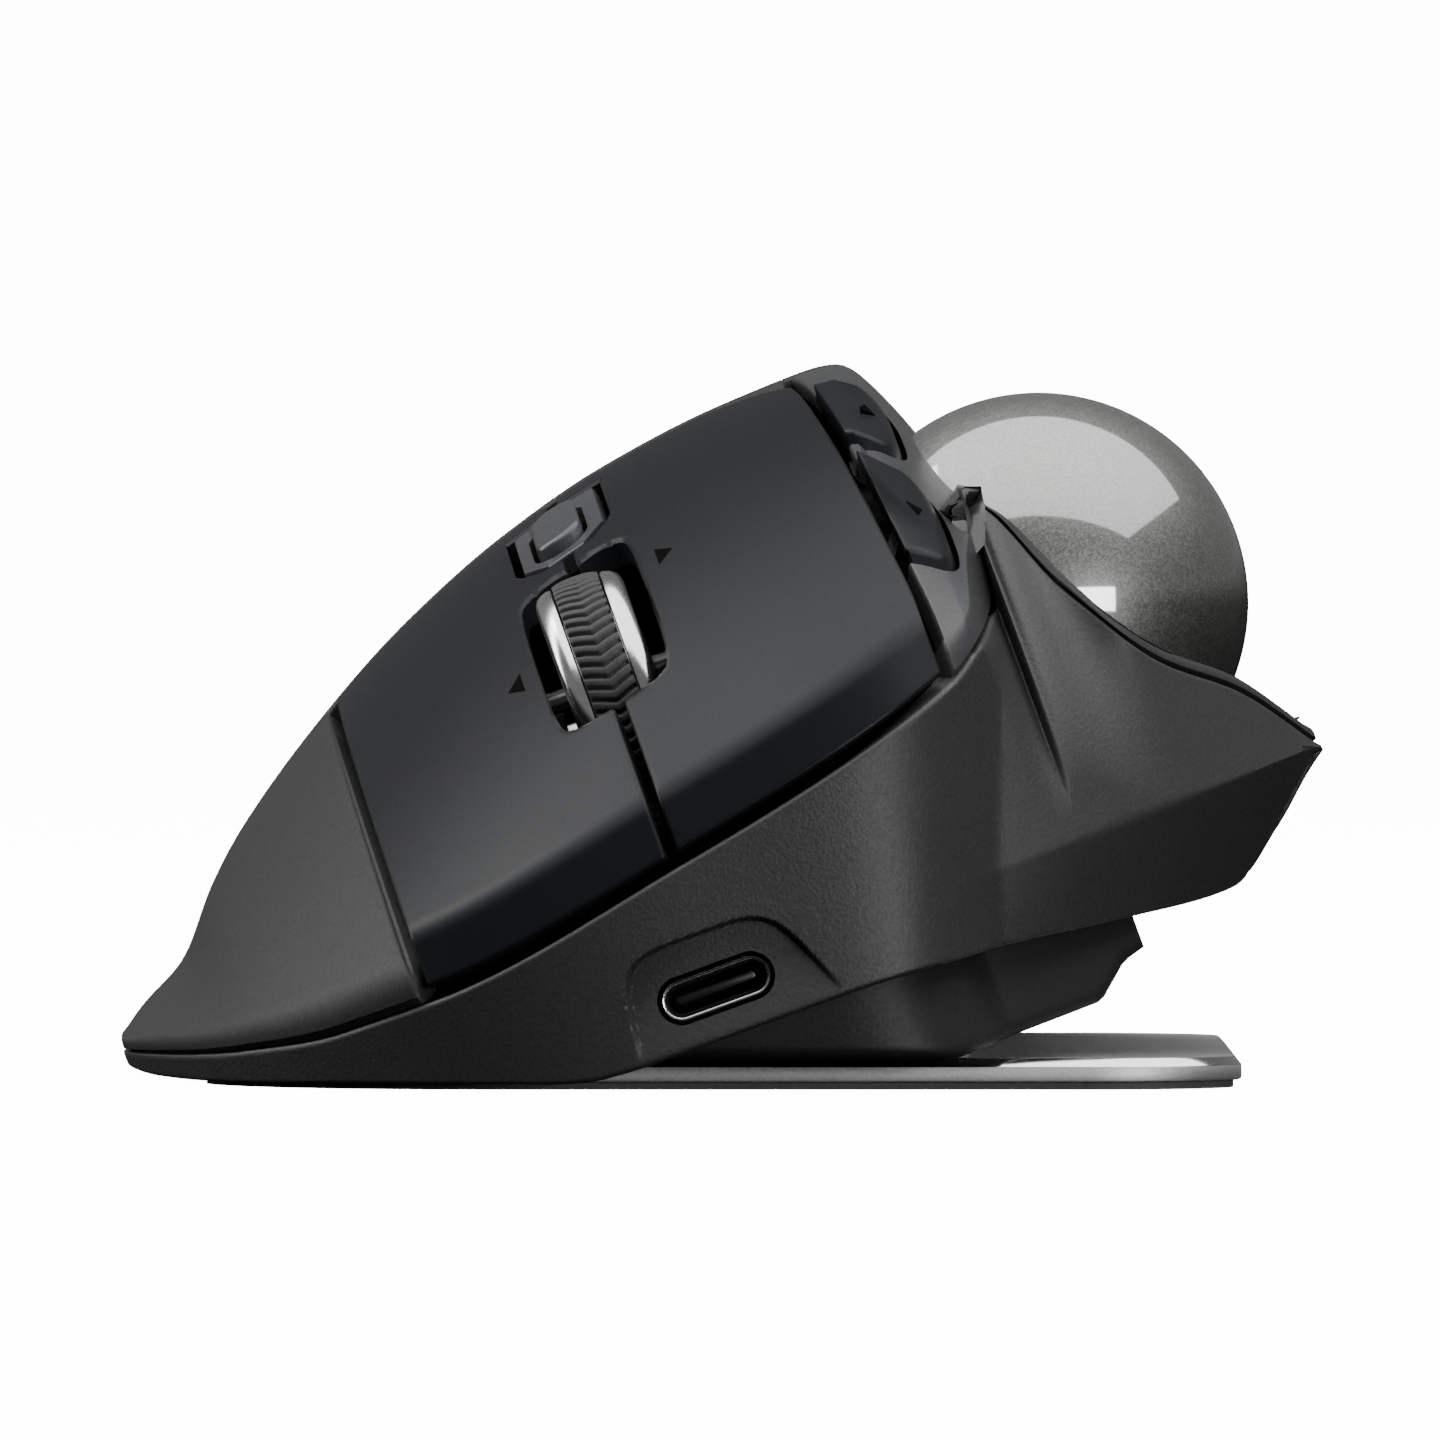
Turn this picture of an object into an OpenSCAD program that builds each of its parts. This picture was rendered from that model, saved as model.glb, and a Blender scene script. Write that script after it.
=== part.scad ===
// Wireless thumb trackball mouse on a magnetic tilt plate, millimetres, +Z up.
// The origin is the centre of the plate's rubber pad, on the desk. -Y is the nose, with the charging
// port, and +X is the thumb side, with the ball. The housing is drawn flat, in its own frame: u to the
// thumb side, v to the palm end and w up from the tilt ridge, and is then tilted as it rests.

/* [Plate] */
// Width of the steel plate
plate_w = 83.6; // [80:0.2:86]
// Depth of the steel plate
plate_d = 102; // [96:1:104]
// Thickness of the steel plate
plate_t = 1.9; // [1.6:0.1:2.4]
// Thickness of the rubber pad under the plate
pad_t = 0.6; // [0.4:0.1:1]

/* [Tilt] */
// Lean of the housing as it rests, toward the little finger
tilt = 20; // [20:1:20]
// Distance of the tilt ridge from the middle of the plate
ridge_x = 18.75; // [18:0.25:20]
// Radius of the ridge rod
rod_r = 1.2; // [1:0.1:1.2]
// Room between the housing's flat facets and the plate
facet_gap = 0.12; // [0.1:0.01:0.2]

/* [Ball] */
// Radius of the ball
ball_r = 17; // [16.5:0.1:17]
// Place of the ball's centre across, along and above the ridge
ball_at = [18.96, -10, 31.4];
// Room between the ball and its cup
cup_gap = 0.4; // [0.3:0.1:0.6]
// Wall of the cup
cup_wall = 1.5; // [1.2:0.1:1.8]

/* [Wheel] */
// Radius of the wheel over its tread
wheel_r = 12; // [11:0.25:12]
// Width of the wheel over its rims
wheel_w = 7.4; // [6.8:0.2:7.6]
// Width of the rubber tread
tread_w = 4.0; // [3.6:0.2:4.4]
// Place of the wheel's axle across, along and above the ridge
wheel_at = [-15.5, -37.8, 34.35];

/* [Buttons] */
// Left and right edges of the two main buttons together
button_u = [-37.6, 9.5];
// Place across of the slot between the two main buttons
slot_u = -15.5; // [-16:0.1:-15]
// Width of the dark gaps round the buttons
gap = 0.9; // [0.7:0.1:1]
// Place along of the main buttons' rear edge
button_back = 1; // [0:0.5:2]

/* [Shells] */
// Thickness of the top shells
shell_t = 2; // [1.6:0.1:2.2]
// Thickness of the lower walls
wall_t = 2; // [1.6:0.1:2.2]
// Seam left between neighbouring shells
seam = 0.15; // [0.1:0.05:0.25]

/* [Hidden] */
plate_top = pad_t + plate_t;
fit = 0.05;
mid_u = -14;
left_half = 49.2;
nose_half = 30;
wing_half = 50.6;
corner_lean = 0.38;
wing_lean = 1.15;
crest_v = 8;
facet_end = 12.6;
facet_slope = tan(tilt);
board_w = 17.7;
board_t = 1.2;

// Silhouette of the top across the mouse, at its highest
crest_line = [[-63.2, 23.6], [-60.7, 25.4], [-56.4, 27.7], [-52, 32.7], [-48, 36.3], [-38, 43],
    [-30, 47.3], [-20, 51.3], [-10, 53.9], [0, 55.2], [8, 55.5], [10.8, 55], [12.8, 51.8],
    [14.4, 47.9], [16.3, 42.6], [21, 33.3], [26.2, 25.4], [31.8, 20.5], [36.6, 13.6]];
// Upper edge of the lower wall, seen from the nose and from the palm end
front_line = [[-63.2, 22.6], [-53.3, 19.8], [-45, 18.6], [-38, 18.6], [-15.5, 22], [9.6, 28],
    [13.2, 30.2], [15.4, 32.8], [16.3, 41.4], [21, 32.1], [26.2, 24.2], [31.8, 19.3], [36.6, 12.7]];
rear_line = [[-63.2, 22.6], [-53, 20.2], [-40, 17.5], [-25, 15], [0, 13.5], [16, 13], [28, 14],
    [34, 13.8], [36.6, 12.7]];
// Lower edge of the lower wall
bottom_line = [[-63.2, 21.4], [-60.9, 20.1], [-45, 14.3], [-34, 10.4], [-30, 9], [-26.5, 8.2],
    [-22, 8], [-6.6, 8], [6.9, 7], [15.1, 5.8], [25.9, 4.5], [31, 7.7], [35.2, 11.3], [36.6, 12.3]];
// Height of the top's front edge above the lower wall
lip_line = [[-63.2, 0.9], [-56, 1.8], [-45, 2.6], [-38, 2.6], [-37.7, 4.6], [9.6, 4.6], [10, 2.6],
    [15.4, 2], [16.3, 1.2], [36.6, 0.9]];

// A smooth curve through points, which never swings past them.
function clamp(x, low, high) = max(low, min(high, x));
function find(p, x, i = 0) = i >= len(p) - 2 || x < p[i + 1][0] ? i : find(p, x, i + 1);
function rise(p, i) = (p[i + 1][1] - p[i][1]) / (p[i + 1][0] - p[i][0]);
function slope(p, i) =
    i == 0 ? rise(p, 0) :
    i == len(p) - 1 ? rise(p, i - 1) :
    let (a = rise(p, i - 1), b = rise(p, i)) a * b <= 0 ? 0 : 2 * a * b / (a + b);
function curve(p, x) =
    let (i = find(p, x), h = p[i + 1][0] - p[i][0], t = clamp((x - p[i][0]) / h, 0, 1),
        a = p[i][1], b = p[i + 1][1], m = slope(p, i) * h, n = slope(p, i + 1) * h)
    a + t * (m + t * (3 * (b - a) - 2 * m - n + t * (2 * (a - b) + m + n)));
function blend_min(a, b, k) = let (h = max(k - abs(a - b), 0) / k) min(a, b) - h * h * k / 4;
function arch(x, n) = pow(max(0, 1 - pow(min(abs(x), 1), n)), 1 / n);

// Plan outline: the nose's round block, the wing beside it, and the palm end.
function nose_v(u, w) =
    let (half = u < mid_u ? left_half : nose_half + corner_lean * min(0, w - 29.8))
    2 - 68 * arch((u - mid_u) / half, u < mid_u ? 2.4 : 5);
function wing_v(u, w) = -8 - 52 * arch((u - mid_u) / (wing_half - wing_lean * max(0, 13 - w)), 2);
function front_v(u, w) = u < mid_u ? nose_v(u, w) : blend_min(nose_v(u, w), wing_v(u, w), 6);
function rear_v(u) =
    u < mid_u ? 2 + 64.5 * arch((u - mid_u) / left_half, 2.3) :
    -8 + 74.5 * arch((u - mid_u) / wing_half, 2);

// The top surface, and its downward slab.
function top_w(u, v) =
    let (c = curve(crest_line, u), front = curve(front_line, u), lip = curve(lip_line, u),
        v0 = front_v(u, front), v1 = rear_v(u), vc = clamp(crest_v, v0, v1))
    v < vc ? c - max(0, c - front - lip) * pow(clamp((vc - v) / max(vc - v0, 0.01), 0, 1), 2.1) :
    c - max(0, c - curve(rear_line, u) - min(lip, 2.6)) *
        pow(clamp((v - vc) / max(v1 - vc, 0.01), 0, 1), 2.3);
function under_w(u, v, t) =
    let (d = 0.2, w = top_w(u, v), su = (top_w(u + d, v) - top_w(u - d, v)) / (2 * d),
        sv = (top_w(u, v + d) - top_w(u, v - d)) / (2 * d),
        floor = (v < crest_v ? curve(front_line, u) : curve(rear_line, u)) + seam
            + min(1.2, curve(lip_line, u) / 2))
    min(w - 0.3, max(w - t * sqrt(1 + su * su + sv * sv), floor));
function steps(a, b, n) = [for (i = [0:n]) a + (b - a) * i / n];
function ease(t) = (1 - cos(180 * t)) / 2;
function flat(lists) = [for (l = lists) for (p = l) p];

// A closed solid between two grids of points, rows by columns, the first grid outward.
module slab(outer, inner) {
    rows = len(outer);
    cols = len(outer[0]);
    n = rows * cols;
    function at(i, j) = i * cols + j;
    function quad(a, b, c, d) = [[a, b, c], [a, c, d]];
    polyhedron(points = concat(flat(outer), flat(inner)), faces = concat(
        [for (i = [0:rows - 2], j = [0:cols - 2])
            for (f = quad(at(i, j), at(i, j + 1), at(i + 1, j + 1), at(i + 1, j))) f],
        [for (i = [0:rows - 2], j = [0:cols - 2])
            for (f = quad(n + at(i, j), n + at(i + 1, j), n + at(i + 1, j + 1), n + at(i, j + 1))) f],
        [for (i = [0:rows - 2]) for (f = quad(at(i, 0), at(i + 1, 0), n + at(i + 1, 0), n + at(i, 0))) f],
        [for (i = [0:rows - 2], j = cols - 1)
            for (f = quad(at(i + 1, j), at(i, j), n + at(i, j), n + at(i + 1, j))) f],
        [for (j = [0:cols - 2]) for (f = quad(at(0, j + 1), at(0, j), n + at(0, j), n + at(0, j + 1))) f],
        [for (j = [0:cols - 2], i = rows - 1)
            for (f = quad(at(i, j), at(i, j + 1), n + at(i, j + 1), n + at(i, j))) f]));
}

// A stretch of the top shell over columns us, from starts to ends. Where lips is not below 0, the front
// edge reaches down to that height above the lower wall, and its foot stands reach further out. tail
// closes the rear edge down to the lower wall.
module top_slab(us, starts, ends, n, t = shell_t, lips = [], reach = 0, tail = false) {
    grid = [for (i = [0:len(us) - 1]) [for (j = [0:n])
        let (v = starts[i] + (ends[i] - starts[i]) * ease(j / n)) [us[i], v]]];
    slab([for (r = grid) [for (p = r) [p[0], p[1], top_w(p[0], p[1])]]],
        [for (i = [0:len(us) - 1]) [for (j = [0:n]) let (p = grid[i][j])
            j == 0 && len(lips) > 0 && lips[i] >= 0 ?
                [p[0], p[1] - reach, curve(front_line, p[0]) + lips[i]] :
            j == n && tail ? [p[0], p[1], curve(rear_line, p[0]) + seam] :
            [p[0], p[1], under_w(p[0], p[1], t)]]]);
}

// Horizontal way inward from the front wall at a place.
function wall_in(u, w) =
    let (d = 0.1, s = (front_v(u + d, w) - front_v(u - d, w)) / (2 * d),
        turn = clamp(abs(u - 15.5) / 2.5 - 1, 0, 1), p = [-s * turn, 1]) p / norm(p);
function rear_in(u) =
    let (d = 0.1, s = (rear_v(u + d) - rear_v(u - d)) / (2 * d)) [s, -1] / norm([s, -1]);

// Placing: into the tilted housing, and along its own three ways.
module in_housing() translate([ridge_x, 0, plate_top]) rotate([0, -tilt, 0]) children();
module along_u(at, r, l) translate(at) rotate([0, 90, 0]) cylinder(r = r, h = l, center = true, $fn = 48);
module along_v(at, r, l) translate(at) rotate([90, 0, 0]) cylinder(r = r, h = l, center = true, $fn = 48);
module along_w(at, r, l) translate(at) cylinder(r = r, h = l, $fn = 48);
module block(at, size) translate(at) translate([-size[0] / 2, -size[1] / 2, 0]) cube(size);
module stadium(w, h) {
    square([w - h, h], center = true);
    for (s = [-1, 1]) translate([s * (w - h) / 2, 0]) circle(d = h, $fn = 48);
}

// Steel plate, with the groove that the ridge rod turns in.
module round_plan(w, d, left_r, right_r) {
    difference() {
        square([w, d], center = true);
        for (sx = [-1, 1], sy = [-1, 1]) let (r = sx < 0 ? left_r : right_r)
            translate([sx * (w / 2 - r), sy * (d / 2 - r)]) difference() {
                translate([sx > 0 ? 0 : -r - 1, sy > 0 ? 0 : -r - 1]) square(r + 1);
                circle(r = r, $fn = 96);
            }
    }
}
rod_l = 88;
module base_plate() {
    color("silver") difference() {
        union() {
            translate([0, 0, pad_t]) linear_extrude(plate_t - 0.5) round_plan(plate_w, plate_d, 25, 12);
            translate([0, 0, plate_top - 0.5]) linear_extrude(0.5)
                round_plan(plate_w - 0.6, plate_d - 0.6, 24.7, 11.7);
        }
        along_v([ridge_x, 0, plate_top], rod_r + fit, rod_l + 1);
    }
}
module base_pad() {
    color("dimgray") linear_extrude(pad_t) round_plan(plate_w - 1.3, plate_d - 1.3, 24.3, 11.3);
}
module ridge_rod() { color("lightgray") in_housing() along_v([0, 0, 0], rod_r, rod_l); }

// Plan of the tray inside the lower walls, k times the outline's size.
function plan(k, w = 6) = let (us = [for (i = [0:28]) mid_u - 46 + 92 * ease(i / 28)]) concat(
    [for (u = us) [mid_u + (u - mid_u) * k, front_v(u, w) * k]],
    [for (i = [28:-1:0]) [mid_u + (us[i] - mid_u) * k, rear_v(us[i]) * k]]);
tray_left = -54;
tray_right = 19.8;
tray_wall = 1.8;
tray_thin = 0.9;
// Underside across the mouse: the two facets that meet at the ridge, then the rise under the ball.
under_line = [[tray_left, -tray_left * facet_slope + facet_gap], [0, facet_gap], [facet_end, facet_gap],
    [15.4, 2.4], [19, 3.3], [tray_right, 4.5]];
module tray_section(floor, thin, low, high, top) {
    polygon(concat([[low, -low * facet_slope + facet_gap + thin],
            [-46, 46 * facet_slope + facet_gap + floor]],
        [for (i = [1:len(under_line) - 2]) [under_line[i][0], under_line[i][1] + floor]],
        [[high, 4.4 + floor], [high, 9.2 + top], [-22, 9.2 + top], [low, -low * facet_slope + 1.3 + top]]));
}
module tray_prism(floor, thin, k, low, high, top) intersection() {
    rotate([90, 0, 0]) linear_extrude(140, center = true) tray_section(floor, thin, low, high, top);
    translate([0, 0, -1]) linear_extrude(60) polygon(plan(k));
}
screw_at = [[-47, -26], [-47, 28], [-2, -54], [9, 40]];
screw_w = [18.4, 18.4, 2.0, 1.2];
magnet_at = [[7.2, -30], [7.2, 26], [-12, -44], [-12, 46], [-42, -12], [-42, 12]];
eject_r = 6.5;
slider_at = [-33, 34];
module bottom_shell() {
    color("#2b2c2f") in_housing() difference() {
        union() {
            difference() {
                tray_prism(0, 0, 0.945, tray_left, tray_right, 0);
                tray_prism(tray_wall, tray_thin, 0.91, tray_left + 1.2, tray_right - 1.6, 9);
            }
            for (i = [0:3]) along_w([screw_at[i][0], screw_at[i][1], screw_w[i]], 3, i < 2 ? 3 : 5);
        }
        along_v([0, 0, 0], rod_r, rod_l + 0.2);
        along_w([ball_at[0], ball_at[1], -1], eject_r, 12);
        for (i = [0:3]) along_w([screw_at[i][0], screw_at[i][1], -1], 1.05, 30);
        for (p = magnet_at) magnet_place(p) translate([0, 0, 0.3]) cylinder(r = 3.05, h = 1.5, $fn = 48);
        in_facet(slider_at) translate([0, 0, -1]) block([0, 0, 0], [3.4, 8, 5]);
    }
}
// A place on the long facet, square to it.
module in_facet(p) translate([p[0], p[1], -p[0] * facet_slope + facet_gap]) rotate([0, tilt, 0]) children();
module magnet_place(p) {
    if (p[0] > 0) translate([p[0], p[1], facet_gap]) children();
    else in_facet(p) children();
}
module tilt_magnets() {
    color("gainsboro") in_housing() for (p = magnet_at) magnet_place(p)
        translate([0, 0, 0.35]) cylinder(r = 3, h = 1.4, $fn = 48);
}
module power_slider() {
    color("#b9c2c4") in_housing() in_facet(slider_at) translate([0, -1, 0.15]) {
        block([0, 0, 0], [2.8, 5.2, 0.9]);
        block([0, 0, 0.9], [2, 2, 2.1]);
    }
}
module power_switch() {
    color("dimgray") in_housing() in_facet(slider_at) difference() {
        block([0, 0, 2.35], [5, 9, 2.2]);
        block([0, 0, 2.25], [2.4, 5.2, 1.3]);
    }
}

// Lower walls: the front one, with the charging port, and the one round the palm end.
port_at = [-15.8, 12];
module wall(us, rear, low, high) {
    function face(u, w) = rear ? [u, rear_v(u), w] : [u, front_v(u, w), w];
    function way(u, w) = rear ? rear_in(u) : wall_in(u, w);
    grid = [for (u = us) [for (t = [0:3]) [u, curve(low, u) + (curve(high, u) - curve(low, u)) * t / 3]]];
    slab([for (r = grid) [for (p = r) face(p[0], p[1])]],
        [for (r = grid) [for (t = [0:3]) let (p = r[t], f = face(p[0], p[1]), q = way(p[0], p[1]),
            depth = wall_t - clamp((-50 - p[0]) / 6, 0, 0.6),
            x = f[0] + depth * q[0])
            [x, f[1] + depth * q[1], curve(low, x) + (curve(high, x) - curve(low, x)) * t / 3]]]);
}
front_us = concat(steps(-63.15, -56, 5), [-53.3, -49, -45, -41, -38, -33, -28, -23.8, -19, -15, -11, -7,
    -3, 0, 3, 5, 7, 9, 11, 12.4, 13.6, 14.6, 15.4, 15.8, 16.3, 17.2, 18.5, 20, 22, 24, 26, 28, 30, 32,
    33.5], steps(34.6, 36.5, 4));
module front_fascia() {
    color("#35363a") in_housing() difference() {
        wall(front_us, false, bottom_line, front_line);
        translate([port_at[0], 0, port_at[1]]) rotate([90, 0, 0]) {
            translate([0, 0, 65]) linear_extrude(5) {
                translate([0, -0.4]) square([14.4, 5.4], center = true);
                intersection() {
                    translate([0, -2]) circle(r = 7.2, $fn = 96);
                    translate([-7.2, 0]) square([14.4, 6]);
                }
            }
            translate([0, 0, 50]) linear_extrude(20) stadium(9.14, 3.36);
        }
    }
}
module rear_fascia() {
    us = concat(steps(36.5, 33, 5), steps(31, -53, 24), steps(-56, -63.05, 6));
    color("#2f3033") in_housing() wall(us, true, bottom_line, rear_line);
}

module palm_shell() {
    left = concat(steps(-63.1, -58, 5), steps(-56.4, -38.5, 9), [-38.3]);
    right = concat(steps(-38.1, 9, 12), [10.8, 12.8, 14.4, 16.1]);
    us = concat(left, right);
    starts = concat([for (u = left) front_v(u, curve(front_line, u))], [for (u = right) button_back + gap]);
    color("#303134") in_housing() difference() {
        top_slab(us, starts, [for (u = us) rear_v(u)], 18,
            lips = concat([for (u = left) seam], [for (u = right) -1]), tail = true);
        translate(ball_at) sphere(r = ball_r + cup_gap, $fn = 96);
    }
}
module side_frame() {
    us = concat(steps(10.1, 12.8, 4), [13.6, 14.4, 15.1]);
    color("#36373b") in_housing() difference() {
        top_slab(us, [for (u = us) front_v(u, curve(front_line, u)) + 0.3],
            [for (u = us) button_back + gap - seam], 12, 1.5, [for (u = us) 2 * seam]);
        translate(ball_at) sphere(r = ball_r + cup_gap, $fn = 96);
        for (v = side_button_v) side_prism(v, 0.35, -8, 8);
    }
}
module thumb_rest() {
    us = concat([16.3 + seam, 17.4], steps(19, 35, 10), [35.8, 36.45]);
    color("#313235") in_housing() difference() {
        top_slab(us, [for (u = us) front_v(u, curve(front_line, u))], [for (u = us) rear_v(u)], 18, 1.2,
            [for (u = us) seam], tail = true);
        translate(ball_at) sphere(r = ball_r + cup_gap, $fn = 96);
        precision_prism(0.25);
    }
}

// Main buttons: a shell each, a tail with a bore on the pivot rod, and a rib over the switch.
rod_w = 37;
rod_v = -2;
switch_v = -48;
module button(low, high, n) {
    us = steps(low, high, n);
    top_slab(us, [for (u = us) front_v(u, curve(front_line, u)) + 1.8], [for (u = us) button_back], 12,
        lips = [for (u = us) 1], reach = 1.4);
}
module button_foot(u, clear) {
    difference() {
        union() {
            block([u, rod_v, rod_w], [3, 4, top_w(u, rod_v) - rod_w - 1.2]);
            along_u([u, rod_v, rod_w], 2, 3);
        }
        along_u([u, rod_v, rod_w], 1 + clear, 4);
    }
}
well_u = 10.4;
well_v = -39.7;
well_long = 24.8;
panel_u = [-19.4, -11.6];
panel_v = [-23.6, -6.5];
// The well round the wheel and the slot for the channel panel, through the buttons.
module well_cut() {
    translate([wheel_at[0], well_v, 20]) linear_extrude(40) intersection() {
        square([well_u, well_long], center = true);
        rotate(45) square(22.6, center = true);
    }
    block([(panel_u[0] + panel_u[1]) / 2, (panel_v[0] + panel_v[1]) / 2, 30],
        [panel_u[1] - panel_u[0] + 1.2, panel_v[1] - panel_v[0] + 1, 30]);
}
module switch_rib(u) block([u, switch_v, board_w + board_t + 8.05], [3, 2.4,
    top_w(u, switch_v) - board_w - board_t - 8.05 - 1.4]);
switch_u = [-27, -3];
module left_button() {
    color("#26282b") in_housing() {
        difference() {
            button(slot_u + gap / 2, button_u[1], 10);
            well_cut();
        }
        for (u = [-10.5, -4.6]) button_foot(u, fit);
        switch_rib(switch_u[1]);
    }
}
module right_button() {
    color("#26282b") in_housing() {
        difference() {
            button(button_u[0], slot_u - gap / 2, 10);
            well_cut();
        }
        for (u = [-34, -24]) button_foot(u, fit);
        switch_rib(switch_u[0]);
    }
}

// Forward and back buttons, set in the shoulder beside the left button and pressed square to it.
side_button_v = [-22.5, -41.5];
side_button_u = 12.05;
side_button_roll = 34;
side_button_size = [14.5, 3.6];
module side_place(v) {
    pitch = atan((top_w(side_button_u, v + 3) - top_w(side_button_u, v - 3)) / 6);
    translate([side_button_u, v, top_w(side_button_u, v)]) rotate([pitch, 0, 0])
        rotate([0, side_button_roll, 0]) children();
}
module side_prism(v, room, low, high) side_place(v) translate([0, 0, low]) linear_extrude(high - low)
    rotate(90) stadium(side_button_size[0] + 2 * room, side_button_size[1] + 2 * room);
module side_button(v) side_prism(v, 0, -1.2, 0.9);
module forward_button() { color("#303236") in_housing() side_button(side_button_v[0]); }
module back_button() { color("#303236") in_housing() side_button(side_button_v[1]); }
module side_switch_board() {
    color("seagreen") in_housing() for (v = side_button_v)
        side_place(v) block([0, 0, -3.7], [3.6, 9, 0.8]);
}
module side_switches() {
    color("dimgray") in_housing() for (v = side_button_v) side_place(v) block([0, 0, -2.88], [3, 3, 1.2]);
}

// Precision button, set in the thumb rest in front of the ball.
precision_at = [24, -33];
module precision_prism(room) {
    translate([precision_at[0], precision_at[1], 10]) rotate(35) linear_extrude(30)
        stadium(8 + 2 * room, 3.4 + 2 * room);
}
module precision_button() {
    us = steps(18, 30, 8);
    vs = steps(-41, -26, 6);
    color("#2c2d30") in_housing() intersection() {
        precision_prism(0);
        slab([for (u = us) [for (v = vs) [u, v, top_w(u, v) + 0.2]]],
            [for (u = us) [for (v = vs) [u, v, top_w(u, v) - 2.4]]]);
    }
}
module precision_switch() {
    color("dimgray") in_housing() block([precision_at[0], precision_at[1], 18.6], [4, 4, 3.2]);
}

// Ball, cup and bearings. The cup's mouth looks up and outward.
mouth = 35;
module ball() { color("#6f7173") in_housing() translate(ball_at) sphere(r = ball_r, $fn = 96); }
module toward_mouth() translate(ball_at) rotate([0, 90 - mouth, 0]) children();
cup_out = ball_r + cup_gap + cup_wall;
bearing_r = 1.25;
module bearing_place() for (a = [60, 180, 300])
    toward_mouth() rotate([0, 0, a]) rotate([0, 125, 0]) children();
module sensor_place() toward_mouth() rotate([0, 0, 120]) rotate([0, 100, 0]) children();
module ball_cup() {
    color("#202124") in_housing() difference() {
        translate(ball_at) sphere(r = cup_out, $fn = 96);
        translate(ball_at) sphere(r = ball_r + cup_gap, $fn = 96);
        toward_mouth() translate([-30, -30, -3]) cube([60, 60, 40]);
        along_w([ball_at[0], ball_at[1], 0], eject_r, 20);
        bearing_place() translate([0, 0, ball_r - 1]) cylinder(r = bearing_r, h = 4, $fn = 48);
        sensor_place() translate([0, 0, ball_r - 1]) cylinder(r = 3.1, h = 4, $fn = 48);
    }
}
module cup_bearings() {
    color("whitesmoke") in_housing() bearing_place() translate([0, 0, ball_r + bearing_r + fit])
        sphere(r = bearing_r - 0.01, $fn = 48);
}
module sensor_lens() {
    color("lightblue") in_housing() sensor_place() translate([0, 0, ball_r + 0.6])
        cylinder(r = 3, h = 1.6, $fn = 48);
}
module sensor_chip() {
    color("#1b1b1d") in_housing() sensor_place() block([0, 0, cup_out + 0.6], [7, 7, 2]);
}
module sensor_board() {
    color("seagreen") in_housing() sensor_place() block([0, 0, cup_out + 2.65], [10, 10, 1]);
}

// Boards, battery, port and the frame that carries the buttons.
board_u = [-43, -8];
module main_board() {
    color("seagreen") in_housing() difference() {
        union() {
            translate([board_u[0], -54, board_w]) cube([board_u[1] - board_u[0], 70, board_t]);
            translate([board_u[1] - 1, -56, board_w]) cube([9, 22, board_t]);
        }
        for (p = board_screw_at) along_w([p[0], p[1], board_w - 1], 1.3, 4);
    }
}
board_screw_at = [[-37, -20], [-12, 10]];
module board_screws() {
    color("gray") in_housing() for (p = board_screw_at) {
        along_w([p[0], p[1], board_w - 0.5], 1, 0.5 + board_t);
        along_w([p[0], p[1], board_w + board_t], 1.9, 1);
    }
}
module housing_screws() {
    color("gray") in_housing() for (i = [0:3])
        along_w([screw_at[i][0], screw_at[i][1], screw_w[i] + 0.2], 1, 4);
}
module battery() {
    color("#3d5a80") in_housing() translate([-22, 18, 10.8]) cube([24, 36, 5.6]);
}
module port_board() {
    color("seagreen") in_housing() translate([-19.4, -60.5, port_at[1] - 1.58 - 1.02]) cube([12, 14, 1]);
}
module port_shell() {
    color("silver") in_housing() translate([port_at[0], -57.6, port_at[1]]) rotate([90, 0, 0]) {
        linear_extrude(7.4) difference() {
            stadium(8.94, 3.16);
            stadium(8.34, 2.56);
        }
        linear_extrude(0.4) stadium(8.34, 2.56);
    }
}
module port_tongue() {
    color("black") in_housing() translate([port_at[0], -58.05, port_at[1]]) rotate([90, 0, 0])
        linear_extrude(5.4) square([6.7, 0.7], center = true);
}
module flex_cable() {
    color("darkorange") in_housing() block([-6, 8, board_w + board_t + 0.1], [8, 5, 0.3]);
}
module switch_body(u) {
    block([u, switch_v, board_w + board_t + 0.02], [5.8, 12.8, 6.5]);
    along_w([u, switch_v, board_w + board_t + 6.4], 0.9, 1.1);
}
module left_switch() { color("#e8e8e8") in_housing() switch_body(switch_u[1]); }
module right_switch() { color("#e8e8e8") in_housing() switch_body(switch_u[0]); }

module button_rod() {
    color("lightgray") in_housing() along_u([-19, rod_v, rod_w], 1, 38);
}
module inner_frame() {
    color("#232427") in_housing() difference() {
        union() {
            for (u = [-36.7, -17, -1.2]) block([u, rod_v, u > -5 ? 33.2 : board_w + board_t + 0.1],
                [2.4, 6, rod_w + 2 - (u > -5 ? 33.2 : board_w + board_t + 0.1)]);
            translate([-37.9, rod_v - 1.5, 33.2]) cube([37.9, 3, 1.4]);
        }
        along_u([-19, rod_v, rod_w], 1.01, 60);
    }
}

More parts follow.
